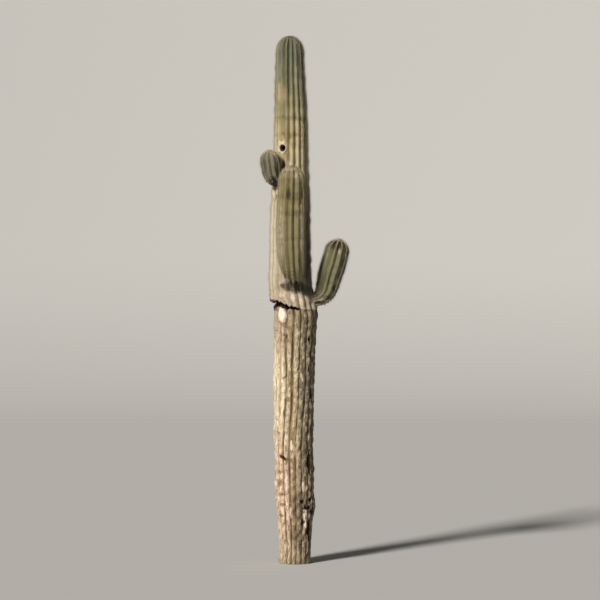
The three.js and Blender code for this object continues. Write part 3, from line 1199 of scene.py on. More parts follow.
def bark_relief(turn, height, crest, sizes):
    """What the bark's cracks, knots and marks add to the radius, with their masks."""
    long_lines = ripples("fissure", turn, height, (9, 34), (0.2, 1.9), 34)
    side_lines = ripples("fissure", turn, height, (20, 60), (0.6, 4.5), 34, salt=1)
    cross_lines = ripples("check", turn, height, (0, 14), (7, 24), 34)
    worn = ripples("patch", turn, height, (1, 7), (0.3, 2.5), 20)
    lumps = ripples("lump", turn, height, (2, 16), (1.0, 9.0), 30)

    # Cracks in the ribs' grooves, long fissures with finer ones beside them, and cross checks. The
    # two deep grooves are also painted darker as shade
    strong = smoothstep(worn, -0.9, 0.9)
    deep = 0 * crest
    for bearing in DEEP_GROOVES:
        turned = bearing_of(turn) - np.radians(360 * rib_turn(height))
        beside = np.degrees(half_turns_from(turned, bearing))
        deep = np.maximum(deep, np.exp(-((beside / 9) ** 2)))
    in_groove = np.exp(-(((1 - crest) / (0.20 + 0.16 * deep)) ** 2))
    in_groove = in_groove * (0.35 + 0.45 * strong) * (1 + 0.8 * deep)
    fissure = np.exp(-((long_lines / 0.13) ** 2)) * (0.35 + 0.65 * strong)
    side_crack = np.exp(-((side_lines / 0.12) ** 2)) * (1 - 0.6 * strong)
    check = np.exp(-((cross_lines / 0.15) ** 2)) * (1 - smoothstep(worn, -0.2, 1.0))
    crack = np.maximum.reduce([in_groove, 0.9 * fissure, 0.8 * side_crack, 0.75 * check])
    scab = spot_distance(turn, height, SCAB)
    mound = 1 - smoothstep(scab, 0.55, 1.1)
    relief = BARK_FORMS["lumps"] * lumps - sizes.fissure_depth * crack
    relief = relief * (1 - 0.60 * mound)

    # Marks with a place of their own, most of them with frayed edges
    frayed = turn + 0.0026 * ripples("lump", turn, height, (14, 60), (3, 14), 16, salt=12)
    shaken = height + 0.0060 * ripples("lump", turn, height, (14, 60), (6, 24), 16, salt=13)
    marks = {
        "scab": mound,
        "pale_fold": spots_at(turn, height, [PALE_FOLD], 0.3),
        "pits": spots_at(frayed, shaken, PITS, 0.70, 1.20),
        "knots": spots_at(frayed, shaken, KNOTS, 0.75, 1.20),
        "notch": spots_at(turn, height, [NOTCH]),
        "flank_folds": spots_at(turn, height, FLANK_FOLDS),
        "specks": spots_at(frayed, shaken, PALE_SPECKS),
        "rims": np.maximum(rims_of(frayed, shaken, KNOTS, 1.55, 0.32),
                           rims_of(frayed, shaken, PITS, 1.50, 0.35)),
        "burl": 1 - smoothstep(spot_distance(turn, height, BURL), 0.2, 1.3),
    }
    for name, mark in marks.items():
        relief = relief + BARK_FORMS[name] * mark

    scab_edge = np.maximum(1 - np.abs(scab - 1.18) / 0.16, 0)
    weathered, painted_far_shade = weathering_and_shade(turn, height)
    cracked = crack * (1 - 0.75 * mound) + 0.6 * scab_edge + 0.60 * marks["flank_folds"]
    pale = mound + 0.85 * marks["specks"] + 0.22 * marks["pale_fold"]
    bright = spots_at(frayed, shaken, BRIGHT_CRESTS, 0.3)
    # Painted shade in the pits and the notch, and a darker tone in the knots
    dark = np.maximum.reduce([marks["pits"], 0.45 * marks["knots"], marks["notch"]])
    # The groove mask paints shade into the bark's grooves
    masks = {
        "crack": np.clip(cracked + painted_far_shade, 0, 1),
        "pale": np.clip(np.maximum(pale, 0.45 * bright), 0, 1),
        "scar": np.clip(dark, 0, 1),
        "weathered": weathered,
        "brown": spots_at(frayed, shaken, DARK_PATCHES, 0.3),
        "groove": crest,
    }
    return relief, masks


def rims_of(turn, height, spots, distance, width):
    """1 on a raised rim at a distance round each spot, falling to 0 beside it."""
    return np.exp(-(((nearest_spot(turn, height, spots) - distance) / width) ** 2))


def weathering_and_shade(turn, height):
    """How olive and grey the bark is, as weathering and as painted shade away from the key light,
    and how dark the painted shade in the middle of that side is.
    """
    away = np.degrees(np.abs(half_turns_from(bearing_of(turn), SHADED_WEATHERED_BEARING)))
    near_foot = 1 - smoothstep(height, 0.35, 1.2)
    grey_start = GREY_START - (GREY_START - GREY_START_AT_FOOT) * near_foot
    grey_reach = SHADED_WEATHERED_BEARING - grey_start
    higher = smoothstep(height, 0.95, 1.35)
    olive_start = OLIVE_START + (OLIVE_START_ABOVE - OLIVE_START) * higher
    olive_reach = SHADED_WEATHERED_BEARING - olive_start
    weathered = 0.52 * (1 - smoothstep(away, grey_reach - 8, grey_reach + 6))
    weathered = weathered + 0.48 * (1 - smoothstep(away, olive_reach - 9, olive_reach + 9))
    painted_far_shade = 0.30 * (1 - smoothstep(away, 10, 24)) * smoothstep(height, 0.75, 1.15)
    return weathered, painted_far_shade


class CACTUS_OT_trunk_skin(bpy.types.Operator):
    """Ribbed skin of the upper trunk, from the collar's lip to the tip"""

    bl_idname = "cactus.trunk_skin"
    bl_label = "Trunk skin"

    def execute(self, context):
        sizes = sizes_now()
        crown_base = sizes.height - sizes.crown_height
        height, width, ring_number = self.rings(sizes, crown_base)
        last = len(height) - 1
        last_lip = 1 + LIP_RINGS

        def shape(turn, row):
            angle = bearing_of(turn)
            share = collar_share(angle)
            nominal = height[row]
            base, drift, groove_depth = trunk_at(nominal)
            wander = 0.0022 * ripples("wander", turn, nominal, (1, 5), (0.1, 0.6), 12, salt=2)
            wander = wander * smoothstep(nominal, LIP_TOP, LIP_TOP + 0.1)
            wander = wander * (1 - smoothstep(nominal, crown_base - 0.4, crown_base))
            crest = from_crest(turn + wander, sizes.trunk_ribs)
            tufted = ring_number[row] % 2 == 0
            relief, grooved, masks = skin_relief(turn, nominal, crest, tufted, sizes)
            above = nominal - COLLAR_HEIGHT
            lip = LIP_DEPTH * share * (1 - smoothstep(above, 0, LIP_FADE))
            lip = lip + LIP_DEPTH_BEHIND * (1 - share) * (1 - smoothstep(above, 0.02, 0.09))
            grooves = groove_depth * crest**sizes.rib_roundness * grooved
            radius = (base - grooves + relief + lip) * width[row]

            # Rings under the lip have their own shape, and the skin above meets the lip's edge
            under, under_height, edge_height = lip_underside(turn, row, radius)
            radius = np.where(row < last_lip, under, radius)
            radius = np.where(row == last, 0, radius)
            near_lip = 1 - smoothstep(nominal, LIP_TOP, LIP_TOP + 0.07)
            lowered = nominal + (edge_height - LIP_TOP) * near_lip
            z = np.where(row <= last_lip, under_height, lowered)
            points = press_nest_hole(trunk_points(angle, radius, z, turn), turn, nominal)
            points[row == last, 0] = drift[row == last]
            points[row == last, 2] = sizes.height

            # Painted shade under the lip, and near black painted shade on the lip's lower edge
            # where the crack gapes
            dark = np.where(row < last_lip, crack_shade(share), 0)
            masks["scar"] = np.maximum(masks["scar"], dark)
            painted_lip_shade = 1 - smoothstep(nominal, LIP_TOP + 0.020, LIP_TOP + 0.050)
            painted_lip_shade = painted_lip_shade * smoothstep(collar_gape(angle), 0.06, 0.30)
            masks["hole"] = np.maximum(masks["hole"], 0.92 * painted_lip_shade)
            return points, masks

        columns = sizes.trunk_ribs * COLUMNS_PER_TRUNK_RIB
        skin, grid = rolled_stem("trunk_skin", columns, last, shape)
        colours = colours_now()
        skin.data.materials.append(skin_material("waxy_trunk_skin", [
            (0.00, colours.tip_skin),
            (0.10, colours.young_skin),
            (0.26, colours.khaki_skin),
            (0.42, colours.yellow_skin),
            (0.72, colours.cream_skin),
            (0.90, colours.cream_skin),
            (1.00, colours.collar_skin),
        ], colours))
        seated(skin, "trunk_skin", "trunk")
        even = np.flatnonzero((ring_number > 4) & (ring_number % 2 == 0))
        rows = np.union1d(even[even < last], np.arange(last - CROWDED_RINGS, last))
        crests = np.arange(0, columns, COLUMNS_PER_TRUNK_RIB)
        tip_rows = last - rows[0]
        plant_areoles("trunk", grid, rows, crests, lambda r: 1 - (last - r) / tip_rows)
        return {"FINISHED"}

    def rings(self, sizes, crown_base):
        """Height, width share and number of each ring. Rings that only add detail have -1."""
        steps = round((crown_base - LIP_TOP) / (sizes.areole_step / 2))
        wall = np.linspace(LIP_TOP, crown_base, steps + 1)
        step = wall[1] - wall[0]
        near = np.abs(wall - NEST[1]) < NEST_FINE_REACH
        extra = wall[near, None] + step * np.arange(1, NEST_FINENESS) / NEST_FINENESS
        numbers = np.concatenate([np.arange(steps + 1), np.full(extra.size, -1)])
        wall = np.concatenate([wall, extra.ravel()])
        order = np.argsort(wall)
        wall, numbers = wall[order], numbers[order]
        wide, tall = crown_rows(sizes.crown_height, float(trunk_at(crown_base)[0]),
                                CROWN_BLUNTNESS, sizes.areole_step / 2)
        in_lip = 2 + LIP_RINGS
        height = np.concatenate([
            np.full(in_lip, LIP_TOP), wall[1:], crown_base + sizes.crown_height * tall])
        width = np.concatenate([np.ones(in_lip + len(wall) - 1), wide])
        numbers = np.concatenate([
            np.full(in_lip, -1), numbers[1:], steps + 1 + np.arange(len(wide))])
        return height, width, numbers


def lip_underside(turn, row, radius):
    """Radius and height of the rings under the lip, and the height where its edge ends.

    The first ring is in the core. The others run out of it to the lip's rounded edge.
    """
    angle = bearing_of(turn)
    share = collar_share(angle)
    inset = crack_depth(share)
    torn = ripples("check", turn, 0, (5, 46), (0, 0), 24, salt=9) * share
    rounding = 0.004 + (0.010 + 0.0026 * torn) * share
    bottom = COLLAR_HEIGHT - 0.002 + 0.014 * share + 0.0040 * torn
    bottom = bottom + 0.5 * GAPE_HEIGHT * collar_gape(angle)
    bottom = bottom + ARCH_HEIGHT * collar_arch(angle)
    level_rings = LIP_RINGS - LIP_EDGE_RINGS
    way = np.clip((row - 1) / level_rings, 0, 1)
    bend = np.clip((row - 1 - level_rings) / LIP_EDGE_RINGS, 0, 1) * math.pi / 2
    under = radius - inset - 0.012 + (inset + 0.012 - rounding) * way
    under = np.where(row == 0, radius * 0.4, under + rounding * np.sin(bend))
    height = bottom + (0.012 + 0.010 * share) * (1 - way) + rounding * (1 - np.cos(bend))
    height = np.where(row == 0, COLLAR_HEIGHT + 0.03, height)
    return under, height, bottom + rounding


def skin_relief(turn, height, crest, tufted, sizes):
    """What growth bands, areoles and scars add to the trunk's radius, with how far its grooves
    are open and the masks.
    """
    bands = ripples("band", turn, height, (0, 2), (4.5, 9.0), 10)
    lumps = ripples("lump", turn, height, (2, 12), (0.8, 6.0), 26, salt=3)
    folds = ripples("check", turn, height, (0, 9), (9, 22), 26, salt=4)
    side_lines = ripples("fissure", turn, height, (14, 44), (0.5, 3.5), 30, salt=2)
    cloudy = height + 0.10 * ripples("patch", turn, height, (1, 9), (0.5, 4), 16)
    cork = 1 - smoothstep(cloudy, 3.12, 3.95)
    crack = np.exp(-((side_lines / 0.12) ** 2)) * cork
    areoles = SKIN_FORMS["areoles"] * np.exp(-((crest / 0.24) ** 2)) * tufted
    relief = SKIN_FORMS["bands"] * bands + SKIN_FORMS["lumps"] * lumps
    relief = relief + SKIN_FORMS["folds"] * folds * cork + SKIN_FORMS["cracks"] * crack
    relief = relief + areoles * smoothstep(height, 3.1, 3.4)
    crown = smoothstep(height, sizes.height - sizes.crown_height, sizes.height - 0.02)
    relief = relief * (1 - 0.7 * crown)

    # The callus round the nest hole closes the grooves
    nest = spot_distance(turn, height, NEST) * NEST[2]
    healed = 1 - smoothstep(spot_distance(turn, height, CALLUS), 0.62, 1.12)
    grooved = smoothstep(nest, 0.056, 0.125) * (1 - 0.75 * healed)
    callus = np.exp(-(((nest - 0.052) / 0.020) ** 2))
    lumpy = 1 + 0.30 * ripples("lump", turn, height, (6, 26), (4, 14), 16, salt=8)
    relief = relief * grooved + SKIN_FORMS["callus"] * callus * lumpy
    relief = relief + SKIN_FORMS["nest_dip"] * (1 - grooved)

    # Swellings where an arm starts and above the collar, and the dip of a scar below the bud
    for arm in ARMS.values():
        foot = arm["stations"][1]
        swelling = spot_distance(turn, height, (arm["bearing"], foot[1], foot[2], foot[2]))
        relief = relief + SKIN_FORMS["arm_feet"] * (1 - smoothstep(swelling, 0.7, 1.7))
    scar = spots_at(turn, height, [BUD_SCAR])
    swellings = spots_at(turn, height, COLLAR_SWELLINGS, 0.2)
    relief = relief + SKIN_FORMS["bud_scar"] * scar + SKIN_FORMS["swellings"] * swellings

    # Painted shade on the side away from the key light, stronger near the tip, and painted shadows
    # round the arms and the bud
    away = np.degrees(np.abs(half_turns_from(bearing_of(turn), SHADED_SIDE_BEARING)))
    grime = 1 - smoothstep(away, SHADE_FULL, SHADE_START)
    grime = grime * (0.50 + 0.30 * smoothstep(height, 5.3, 5.8)) * smoothstep(height, 3.10, 3.30)
    stain = 0.8 * spots_at(turn, height, STAINS, 0.2)
    wavy = height + 0.010 * ripples("band", turn, 0, (1, 9), (0, 0), 10, salt=21)
    for middle, half_height, strength in GROWTH_BANDS:
        stain = np.maximum(stain, strength * np.exp(-(((wavy - middle) / half_height) ** 2)))
    # Painted shadow under the front arm, which the groove mask carries
    shade = spots_at(turn, height, [ARM_SHADE], 0.4)
    across = half_turns_from(bearing_of(turn), NEST[0]) * trunk_at(height)[0]
    ring = (1 - smoothstep(nest, 0.050, 0.072)) * (1 - 0.6 * smoothstep(across, -0.010, 0.050))
    healed = np.maximum(healed, spots_at(turn, height, HEALED_SPOTS))
    old = 1 - smoothstep(height, 3.0, sizes.height)
    masks = {
        # The groove mask paints shade into the grooves and under the front arm
        "groove": np.maximum(crest * grooved, 0.8 * shade),
        "stain": stain,
        "age": 1 - (height - COLLAR_HEIGHT) / (sizes.height - COLLAR_HEIGHT),
        "cork": np.clip(0.85 * cork + 0.1 * old - 0.05, 0, 1),
        "grime": np.maximum(grime, 0.95 * spots_at(turn, height, PAINTED_SHADOWS, 0.45)),
        "pale": np.clip(ring + healed + swellings, 0, 1),
        "scar": np.clip(scar + 0.45 * crack, 0, 1),
        "warm": 0.45 * spots_at(turn, height, WARM_PATCHES, 0.2),
        # Painted shade in the nest hole
        "hole": 1 - smoothstep(nest, 0.032, 0.040),
    }
    return relief, grooved, masks


def nest_axes():
    """The middle of the nest hole's mouth and the way out of it."""
    bearing, height, _, _ = NEST
    radius, drift, _ = (float(v) for v in trunk_at(height))
    out = Vector((math.cos(math.radians(bearing)), math.sin(math.radians(bearing)), 0))
    return Vector((drift, 0, height)) + out * (radius - MOUTH_SINK), out


def press_nest_hole(points, turn, height):
    """Pushes the skin straight in behind the nest hole's rim."""
    _, out = nest_axes()
    away = spot_distance(turn, height, NEST) * NEST[2]
    rounding = np.sqrt(np.clip(1 - ((RIM_RADIUS - away) / RIM_WIDTH) ** 2, 0, 1))
    inside = np.where(away > RIM_RADIUS - RIM_WIDTH, RIM_DEPTH * (1 - rounding), RIM_DEPTH)
    depth = np.where(away < RIM_RADIUS, inside, 0)
    depth = depth + NEST_PRESS * (1 - smoothstep(away, 0.020, 0.040))
    return points - depth[:, None] * np.array(out)


class CACTUS_OT_nest_hole(bpy.types.Operator):
    """Lining and smooth rim of the nest hole"""

    bl_idname = "cactus.nest_hole"
    bl_label = "Nest hole"

    def execute(self, context):
        middle, out = nest_axes()
        mouth = NEST[2]
        depth = sizes_now().nest_depth

        # Over the rim, in to the hole's end and back outside it to the start
        rings = [
            (mouth + 0.0085, -0.0140),
            (mouth + 0.0065, -0.0075),
            (mouth + 0.0030, -0.0045),
            (mouth - 0.0005, -0.0080),
            (mouth - 0.0010, -0.0180),
            (mouth + 0.0010, -0.045),
            (mouth + 0.004, -0.080),
            (mouth - 0.004, -depth * 0.88),
            (mouth - 0.018, -depth * 0.98),
            (0.003, -depth),
            (0.003, -depth - 0.004),
            (mouth - 0.010, -depth - 0.002),
            (mouth + 0.008, -0.080),
            (mouth + 0.008, -0.030),
        ]
        deselect_all()
        bpy.ops.mesh.primitive_circle_add(vertices=HOLE_SIDES, radius=rings[0][0],
                                          fill_type="NOTHING", location=(0, 0, rings[0][1]))
        hole = bpy.context.object
        hole.name = hole.data.name = "nest_hole"
        bpy.ops.object.transform_apply(location=True, rotation=False, scale=False)
        bpy.ops.object.mode_set(mode="EDIT")
        bpy.ops.mesh.select_all(action="SELECT")
        extrude_rings(rings)
        bpy.ops.mesh.select_all(action="DESELECT")
        bpy.ops.mesh.select_non_manifold(extend=False)
        bpy.ops.mesh.bridge_edge_loops()
        bpy.ops.mesh.select_all(action="SELECT")
        bpy.ops.mesh.normals_make_consistent(inside=False)
        bpy.ops.object.mode_set(mode="OBJECT")
        smooth = hole.modifiers.new("Smooth form", "SUBSURF")
        smooth.levels = smooth.render_levels = 1
        bpy.ops.object.modifier_apply(modifier=smooth.name)
        bpy.ops.object.shade_smooth()
        turned = out.to_track_quat("Z", "Y").to_matrix().to_4x4()
        hole.data.transform(Matrix.Translation(middle) @ turned)
        hole.data.materials.append(lining_material(colours_now()))
        seated(hole, "trunk_skin")
        return {"FINISHED"}


def arm_axis(arm):
    """Points along an arm's middle line, its radius and the ways along and across it."""
    bearing = math.radians(arm["bearing"])
    outward = np.array([math.cos(bearing), math.sin(bearing), 0])
    across = np.array([-math.sin(bearing), math.cos(bearing), 0])
    stations = np.array(arm["stations"])
    drift = trunk_at(stations[:, 1])[1]
    middle = stations[:, :1] * outward + stations[:, 3:] * across
    middle[:, 0] += drift
    middle[:, 2] = stations[:, 1]
    steps = np.linalg.norm(np.diff(middle, axis=0), axis=1)
    way = np.concatenate([[0], np.cumsum(steps)])
    at = smooth_columns(np.column_stack([way, middle, stations[:, 2]]))
    return at, way[-1], across


class CACTUS_OT_arms(bpy.types.Operator):
    """The front arm, the right arm and the young bud on the left"""

    bl_idname = "cactus.arms"
    bl_label = "Arms"

    def execute(self, context):
        colours = colours_now()
        finishes = {
            "front_arm": [
                (0.00, colours.arm_young),
                (0.30, colours.arm_young),
                (1.00, colours.arm_old),
            ],
            "right_arm": [
                (0.00, colours.arm_tip),
                (0.28, colours.grey_arm),
                (0.65, colours.grey_arm),
                (1.00, colours.arm_foot),
            ],
            "left_arm_bud": [(0.00, colours.bud_skin), (1.00, colours.bud_skin)],
        }
        for salt, (name, arm) in enumerate(ARMS.items()):
            skin = self.make_arm(name, arm, salt)
            skin.data.materials.append(skin_material(name + "_skin", finishes[name], colours))
            seated(skin, "arm_skin", name)
        return {"FINISHED"}

    def make_arm(self, name, arm, salt):
        sizes = sizes_now()
        at, reach, across = arm_axis(arm)
        ribs = arm["ribs"]
        steps = round(reach / ARM_RING_STEP)
        way = np.linspace(0, reach, steps + 1)
        end_radius = float(at(reach)[3])
        wide, tall = crown_rows(arm["crown"], end_radius, ARM_BLUNTNESS, ARM_RING_STEP)
        way = np.concatenate([way, np.full(len(wide), reach)])
        width = np.concatenate([np.ones(steps + 1), wide])
        beyond = np.concatenate([np.zeros(steps + 1), arm["crown"] * tall])
        last = len(way) - 1
        widest = max(station[2] for station in arm["stations"])

        def shape(turn, row):
            x, y, z, radius = at(way[row])
            before = np.stack(at(way[row] - 0.01)[:3], axis=-1)
            after = np.stack(at(way[row] + 0.01)[:3], axis=-1)
            tangent = after - before
            tangent /= np.linalg.norm(tangent, axis=1, keepdims=True)
            normal = np.cross(across[None, :], tangent)
            normal /= np.linalg.norm(normal, axis=1, keepdims=True)
            side = np.cross(tangent, normal)
            place = way[row] + beyond[row]
            crest = from_crest(turn, ribs)
            bands = ripples("band", turn, place, (0, 2), (5, 11), 10, salt=10 + salt)
            lumps = ripples("lump", turn, place, (1, 8), (1, 7), 20, salt=10 + salt)
            areoles = ARM_FORMS["areoles"] * np.exp(-((crest / 0.24) ** 2)) * (row % 2 == 0)
            depth = arm["groove"] * (radius / widest) * crest**sizes.rib_roundness
            in_crown = smoothstep(beyond[row], 0, arm["crown"])
            share = smoothstep(place, 0, 0.10) * (1 - 0.6 * in_crown)
            relief = ARM_FORMS["bands"] * bands + ARM_FORMS["lumps"] * lumps + areoles
            reached = (radius - depth + relief * share) * width[row]
            reached = np.where(row == last, 0, reached)
            angle = 2 * math.pi * turn
            points = np.stack([x, y, z], axis=-1) + tangent * beyond[row][:, None]
            points = points + normal * (reached * np.cos(angle))[:, None]
            points = points + side * (reached * np.sin(angle))[:, None]
            # The groove mask paints shade into the arm's grooves
            masks = {
                "groove": crest,
                "age": 1 - place / (reach + arm["crown"]),
                "cork": 0.5 * (1 - smoothstep(place, 0.10, 0.28)),
            }
            add_arm_marks(masks, name, points, y)
            return points, masks

        columns = ribs * COLUMNS_PER_ARM_RIB
        skin, grid = rolled_stem(name + "_skin", columns, last, shape)
        outside = round(ARM_CLEARING / ARM_RING_STEP)
        rows = np.arange(outside + outside % 2, last, 2)
        rows = np.union1d(rows, np.arange(last - CROWDED_RINGS, last))
        crests = np.arange(0, columns, COLUMNS_PER_ARM_RIB)
        plant_areoles(name, grid, rows, crests, lambda r: r / last)
        return skin


def add_arm_marks(masks, name, points, axis_y):
    """Adds an arm's marks to its masks. They lie on its half in front of its own axis."""
    for kind in ("pale", "scar", "stain", "warm", "grime"):
        masks[kind] = np.zeros(len(points))
    in_front = smoothstep(axis_y - points[:, 1], -0.02, 0.03)
    for left, up, half_width, half_height, kind, strength in ARM_MARKS[name]:
        away = np.hypot((points[:, 0] - left) / half_width, (points[:, 2] - up) / half_height)
        mark = strength * (1 - smoothstep(away, 0.35, 1.2)) * in_front
        masks[kind] = np.maximum(masks[kind], mark)


class CACTUS_OT_felt(bpy.types.Operator):
    """Small felt pads along the rib crests, one under each spine tuft"""

    bl_idname = "cactus.felt"
    bl_label = "Felt pads"

    def execute(self, context):
        felt = plain_growth_material("areole_felt", colours_now().felt, 0.95)
        around = np.arange(PAD_SIDES) / PAD_SIDES * 2 * math.pi
        corners, faces = [], []
        for name in ("trunk", *ARMS):
            rows = planted[name]
            across = np.cross(rows["up"], rows["out"])
            upward = PAD_HALF_HEIGHT * np.sin(around)[None, :, None]
            sideways = PAD_HALF_WIDTH * np.cos(around)[None, :, None]
            ring = rows["at"][:, None, :] - PAD_IN * rows["out"][:, None, :]
            ring = ring + upward * rows["up"][:, None, :]
            ring = ring + sideways * across[:, None, :]
            top = rows["at"] + PAD_OUT * rows["out"]
            start = sum(len(c) for c in corners) + np.arange(len(top)) * (PAD_SIDES + 1)
            both = np.concatenate([ring, top[:, None, :]], axis=1)
            corners.append(both.reshape(-1, 3))
            for i in range(PAD_SIDES):
                j = (i + 1) % PAD_SIDES
                faces.append(np.stack([start + i, start + j, start + PAD_SIDES], axis=1))
            for i in range(1, PAD_SIDES - 1):
                faces.append(np.stack([start, start + i + 1, start + i], axis=1))
        piece = mesh_of("areole_felt", np.concatenate(corners), np.concatenate(faces), [felt])
        turn_faces_out(piece)
        seated(piece, "spines")
        return {"FINISHED"}


def turn_faces_out(piece):
    deselect_all()
    piece.select_set(True)
    bpy.context.view_layer.objects.active = piece
    bpy.ops.object.mode_set(mode="EDIT")
    bpy.ops.mesh.select_all(action="SELECT")
    bpy.ops.mesh.normals_make_consistent(inside=False)
    bpy.ops.object.mode_set(mode="OBJECT")


def spine_mesh(name, foot, way, long, thick, tint, materials):
    """Joined three-sided needles with closed feet."""
    guide = np.where(np.abs(way[:, 2:]) > 0.8, [[1.0, 0, 0]], [[0, 0, 1.0]])
    first = np.cross(way, guide)
    first /= np.linalg.norm(first, axis=1, keepdims=True)
    second = np.cross(way, first)
    base = []
    for angle in (0, 2 * math.pi / 3, 4 * math.pi / 3):
        rim = math.cos(angle) * first + math.sin(angle) * second
        base.append(foot + rim * thick[:, None] / 2)
    tip = foot + way * long[:, None]
    corners = np.stack([*base, tip], axis=1).reshape(-1, 3)
    start = np.arange(len(foot)) * 4
    triangles = [(0, 1, 3), (1, 2, 3), (2, 0, 3), (0, 2, 1)]
    faces = np.stack([np.stack([start + c for c in t], axis=1) for t in triangles], axis=1)
    return mesh_of(name, corners, faces.reshape(-1, 3), materials, np.repeat(tint, 4))


class CACTUS_OT_spines(bpy.types.Operator):
    """Tufts of dry spines on every areole, and a few stubs left on the bark"""

    bl_idname = "cactus.spines"
    bl_label = "Spines"

    def execute(self, context):
        colours = colours_now()
        sizes = context.scene.spine_sizes
        materials = [
            plain_growth_material("straw_spines", colours.straw_spine, 0.6),
            plain_growth_material("grey_spines", colours.grey_spine, 0.75),
            plain_growth_material("dark_spines", colours.dark_spine, 0.65),
        ]
        for seed, name in enumerate(("trunk", *ARMS)):
            draw = np.random.default_rng(SPINE_SEED + seed)
            tufts = planted[name]
            kinds = [
                self.spread(draw, tufts, sizes.radial_count, RADIAL_TILT, sizes.radial_length,
                            sizes.thickness, 0.0),
                self.spread(draw, tufts, sizes.central_count, CENTRAL_TILT,
                            sizes.central_length, sizes.thickness * 1.2, 0.35),
            ]
            joined = [np.concatenate(column) for column in zip(*kinds)]
            seated(spine_mesh(name + "_spines", *joined, materials), "spines")
        self.stubs(np.random.default_rng(STUB_SEED), sizes, materials)
        return {"FINISHED"}

    def spread(self, draw, tufts, count, tilt, long, thick, droop):
        """count spines round each tuft, tilted out of the skin by an angle in the range tilt."""
        at = np.repeat(tufts["at"], count, axis=0)
        up = np.repeat(tufts["up"], count, axis=0)
        out = np.repeat(tufts["out"], count, axis=0)
        youth = np.repeat(tufts["youth"], count)
        across = np.cross(up, out)
        tufted = len(tufts["at"])
        even = np.tile(np.arange(count) / count, tufted)
        round_it = 2 * math.pi * (even + np.repeat(draw.random(tufted), count))
        round_it = round_it + draw.normal(0, 0.18, len(at))
        rise = np.radians(draw.uniform(*tilt, len(at)))

        # Young tufts lean up and old ones down, and no spine lies flat on the skin
        lean = (youth - 0.55) * 0.9 - droop
        way = np.cos(rise)[:, None] * (
            np.cos(round_it)[:, None] * up + np.sin(round_it)[:, None] * across)
        way = way + np.sin(rise)[:, None] * out + lean[:, None] * up * 0.5
        way /= np.linalg.norm(way, axis=1, keepdims=True)
        outward = np.sum(way * out, axis=1)
        way = way + out * np.maximum(0.10 - outward, 0)[:, None]
        way /= np.linalg.norm(way, axis=1, keepdims=True)
        foot = at + 0.0012 * out + 0.003 * (way - out * outward[:, None])
        size = long * draw.uniform(0.65, 1.2, len(at)) * (0.82 + 0.3 * youth)
        size = np.minimum(size, SPINE_REACH / np.maximum(np.sum(way * out, axis=1), 0.1))
        thickness = thick * draw.uniform(0.8, 1.15, len(at))

        # Straw, grey or brown: the youngest tufts are mostly brown and the oldest mostly grey
        pick = draw.random(len(at))
        straw = 0.25 + 0.5 * youth
        brown = 0.07 + 0.68 * smoothstep(youth, 0.94, 0.99)
        tint = np.where(pick < straw * (1 - brown), 0, np.where(pick < 1 - brown, 1, 2))
        return foot, way, size, thickness, tint

    def stubs(self, draw, sizes, materials):
        """The few short spines that old bark keeps."""
        tufts = planted["bark"]
        height = tufts["at"][:, 2]
        keep = draw.random(len(height)) < 0.05 + 0.55 * smoothstep(height, 1.2, 3.0)
        few = {key: value[keep] for key, value in tufts.items()}
        parts = self.spread(draw, few, STUBS_IN_TUFT, STUB_TILT, sizes.radial_length * 0.8,
                            sizes.thickness, 0.2)
        seated(spine_mesh("bark_spines", *parts, materials), "spines")


def backdrop_rings():
    """Radius and height of the floor's edge and of the rings of the gentle slope beyond it."""
    steepest = math.radians(BACKDROP_SLOPE)
    rings = [(FLOOR_RADIUS, 0.0)]
    for bend in np.linspace(0, steepest, 9)[1:]:
        radius = FLOOR_RADIUS + BACKDROP_BEND * math.sin(bend)
        rings.append((radius, BACKDROP_BEND * (1 - math.cos(bend))))
    radius, height = rings[-1]
    rings.append((BACKDROP_RADIUS, height + (BACKDROP_RADIUS - radius) * math.tan(steepest)))
    return rings


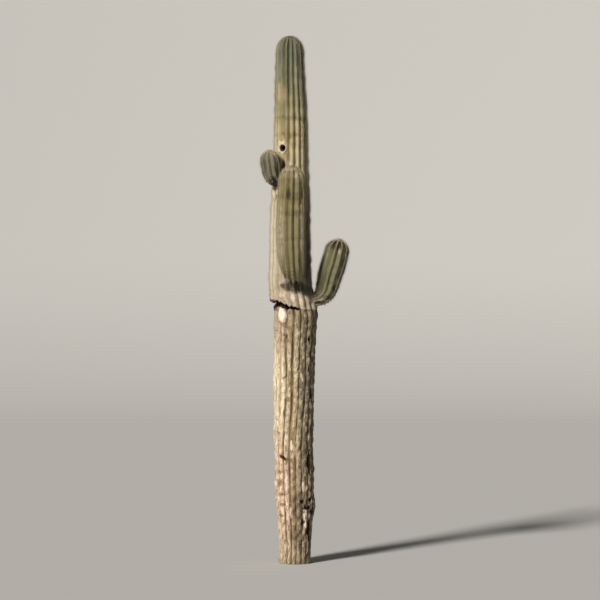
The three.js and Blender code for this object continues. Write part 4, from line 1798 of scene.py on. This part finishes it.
class CACTUS_OT_stage(bpy.types.Operator):
    """Pale floor that curves up far away, soft key light, even fill and the camera"""

    bl_idname = "cactus.stage"
    bl_label = "Stage"

    def execute(self, context):
        look = context.scene.stage_look
        deselect_all()
        bpy.ops.mesh.primitive_circle_add(
            vertices=FLOOR_SIDES, radius=FLOOR_RADIUS, fill_type="NGON")
        floor = context.object
        floor.name = floor.data.name = "studio_floor"
        bpy.ops.object.mode_set(mode="EDIT")
        bpy.ops.mesh.select_all(action="SELECT")
        bpy.ops.mesh.inset(thickness=0.01, depth=0)
        bpy.ops.mesh.select_all(action="DESELECT")
        bpy.ops.mesh.select_non_manifold(extend=False)
        extrude_rings(backdrop_rings())
        bpy.ops.object.mode_set(mode="OBJECT")
        bpy.ops.object.shade_smooth()
        material, _, shader = new_material("pale_floor", 0.9, 0.1)
        shader.inputs["Base Color"].default_value = (*look.floor_colour, 1)
        floor.data.materials.append(material)

        world = bpy.data.worlds.new("soft_fill")
        world.use_nodes = True
        background = world.node_tree.nodes["Background"]
        background.inputs["Color"].default_value = (*FILL_COLOUR, 1)
        background.inputs["Strength"].default_value = look.fill_strength
        context.scene.world = world

        lamp = bpy.data.lights.new("soft_key", "SUN")
        lamp.energy = look.key_strength
        lamp.angle = math.radians(KEY_SOFTNESS)
        lamp.color = KEY_COLOUR
        key = bpy.data.objects.new("soft_key", lamp)
        bearing, rise = math.radians(look.key_bearing), math.radians(look.key_elevation)
        to_key = Vector((math.cos(bearing) * math.cos(rise), math.sin(bearing) * math.cos(rise),
                         math.sin(rise)))
        key.location = to_key * KEY_DISTANCE
        key.rotation_euler = to_key.to_track_quat("Z", "Y").to_euler()
        context.scene.collection.objects.link(key)

        camera_data = bpy.data.cameras.new("camera")
        camera_data.lens = look.lens
        camera_data.sensor_width = SENSOR_WIDTH
        camera_data.clip_end = VIEW_REACH
        camera = bpy.data.objects.new("camera", camera_data)
        eye = Vector(CAMERA_EYE)
        camera.location = eye
        camera.rotation_euler = (eye - Vector(CAMERA_AIM)).to_track_quat("Z", "Y").to_euler()
        context.scene.collection.objects.link(camera)
        context.scene.camera = camera
        context.scene.view_settings.view_transform = "Standard"
        return {"FINISHED"}


class CACTUS_PT_panel(bpy.types.Panel):
    """Lists the cactus's pieces, sizes and colours"""

    bl_label = "Cactus"
    bl_idname = "CACTUS_PT_panel"
    bl_space_type = "VIEW_3D"
    bl_region_type = "UI"
    bl_category = "Cactus"

    def draw(self, context):
        for operator in OPERATORS:
            self.layout.operator(operator.bl_idname)
        for group in (context.scene.cactus_sizes, context.scene.spine_sizes,
                      context.scene.stage_look, context.scene.cactus_colours):
            box = self.layout.box()
            for name in group.bl_rna.properties.keys():
                if name not in ("rna_type", "name"):
                    box.prop(group, name)


OPERATORS = (
    CACTUS_OT_bark,
    CACTUS_OT_trunk_skin,
    CACTUS_OT_nest_hole,
    CACTUS_OT_arms,
    CACTUS_OT_felt,
    CACTUS_OT_spines,
    CACTUS_OT_stage,
)
GROUPS = {
    "cactus_sizes": CactusSizes,
    "spine_sizes": SpineSizes,
    "cactus_colours": CactusColours,
    "stage_look": StageLook,
}


def register():
    for name, group in GROUPS.items():
        bpy.utils.register_class(group)
        setattr(bpy.types.Scene, name, bpy.props.PointerProperty(type=group))
    for operator in OPERATORS:
        bpy.utils.register_class(operator)
    bpy.utils.register_class(CACTUS_PT_panel)


def unregister():
    bpy.utils.unregister_class(CACTUS_PT_panel)
    for operator in reversed(OPERATORS):
        bpy.utils.unregister_class(operator)
    for name, group in GROUPS.items():
        delattr(bpy.types.Scene, name)
        bpy.utils.unregister_class(group)


def main():
    register()
    bpy.ops.cactus.bark()
    bpy.ops.cactus.trunk_skin()
    bpy.ops.cactus.nest_hole()
    bpy.ops.cactus.arms()
    bpy.ops.cactus.felt()
    bpy.ops.cactus.spines()
    bpy.ops.cactus.stage()


if __name__ == "__main__":
    main()
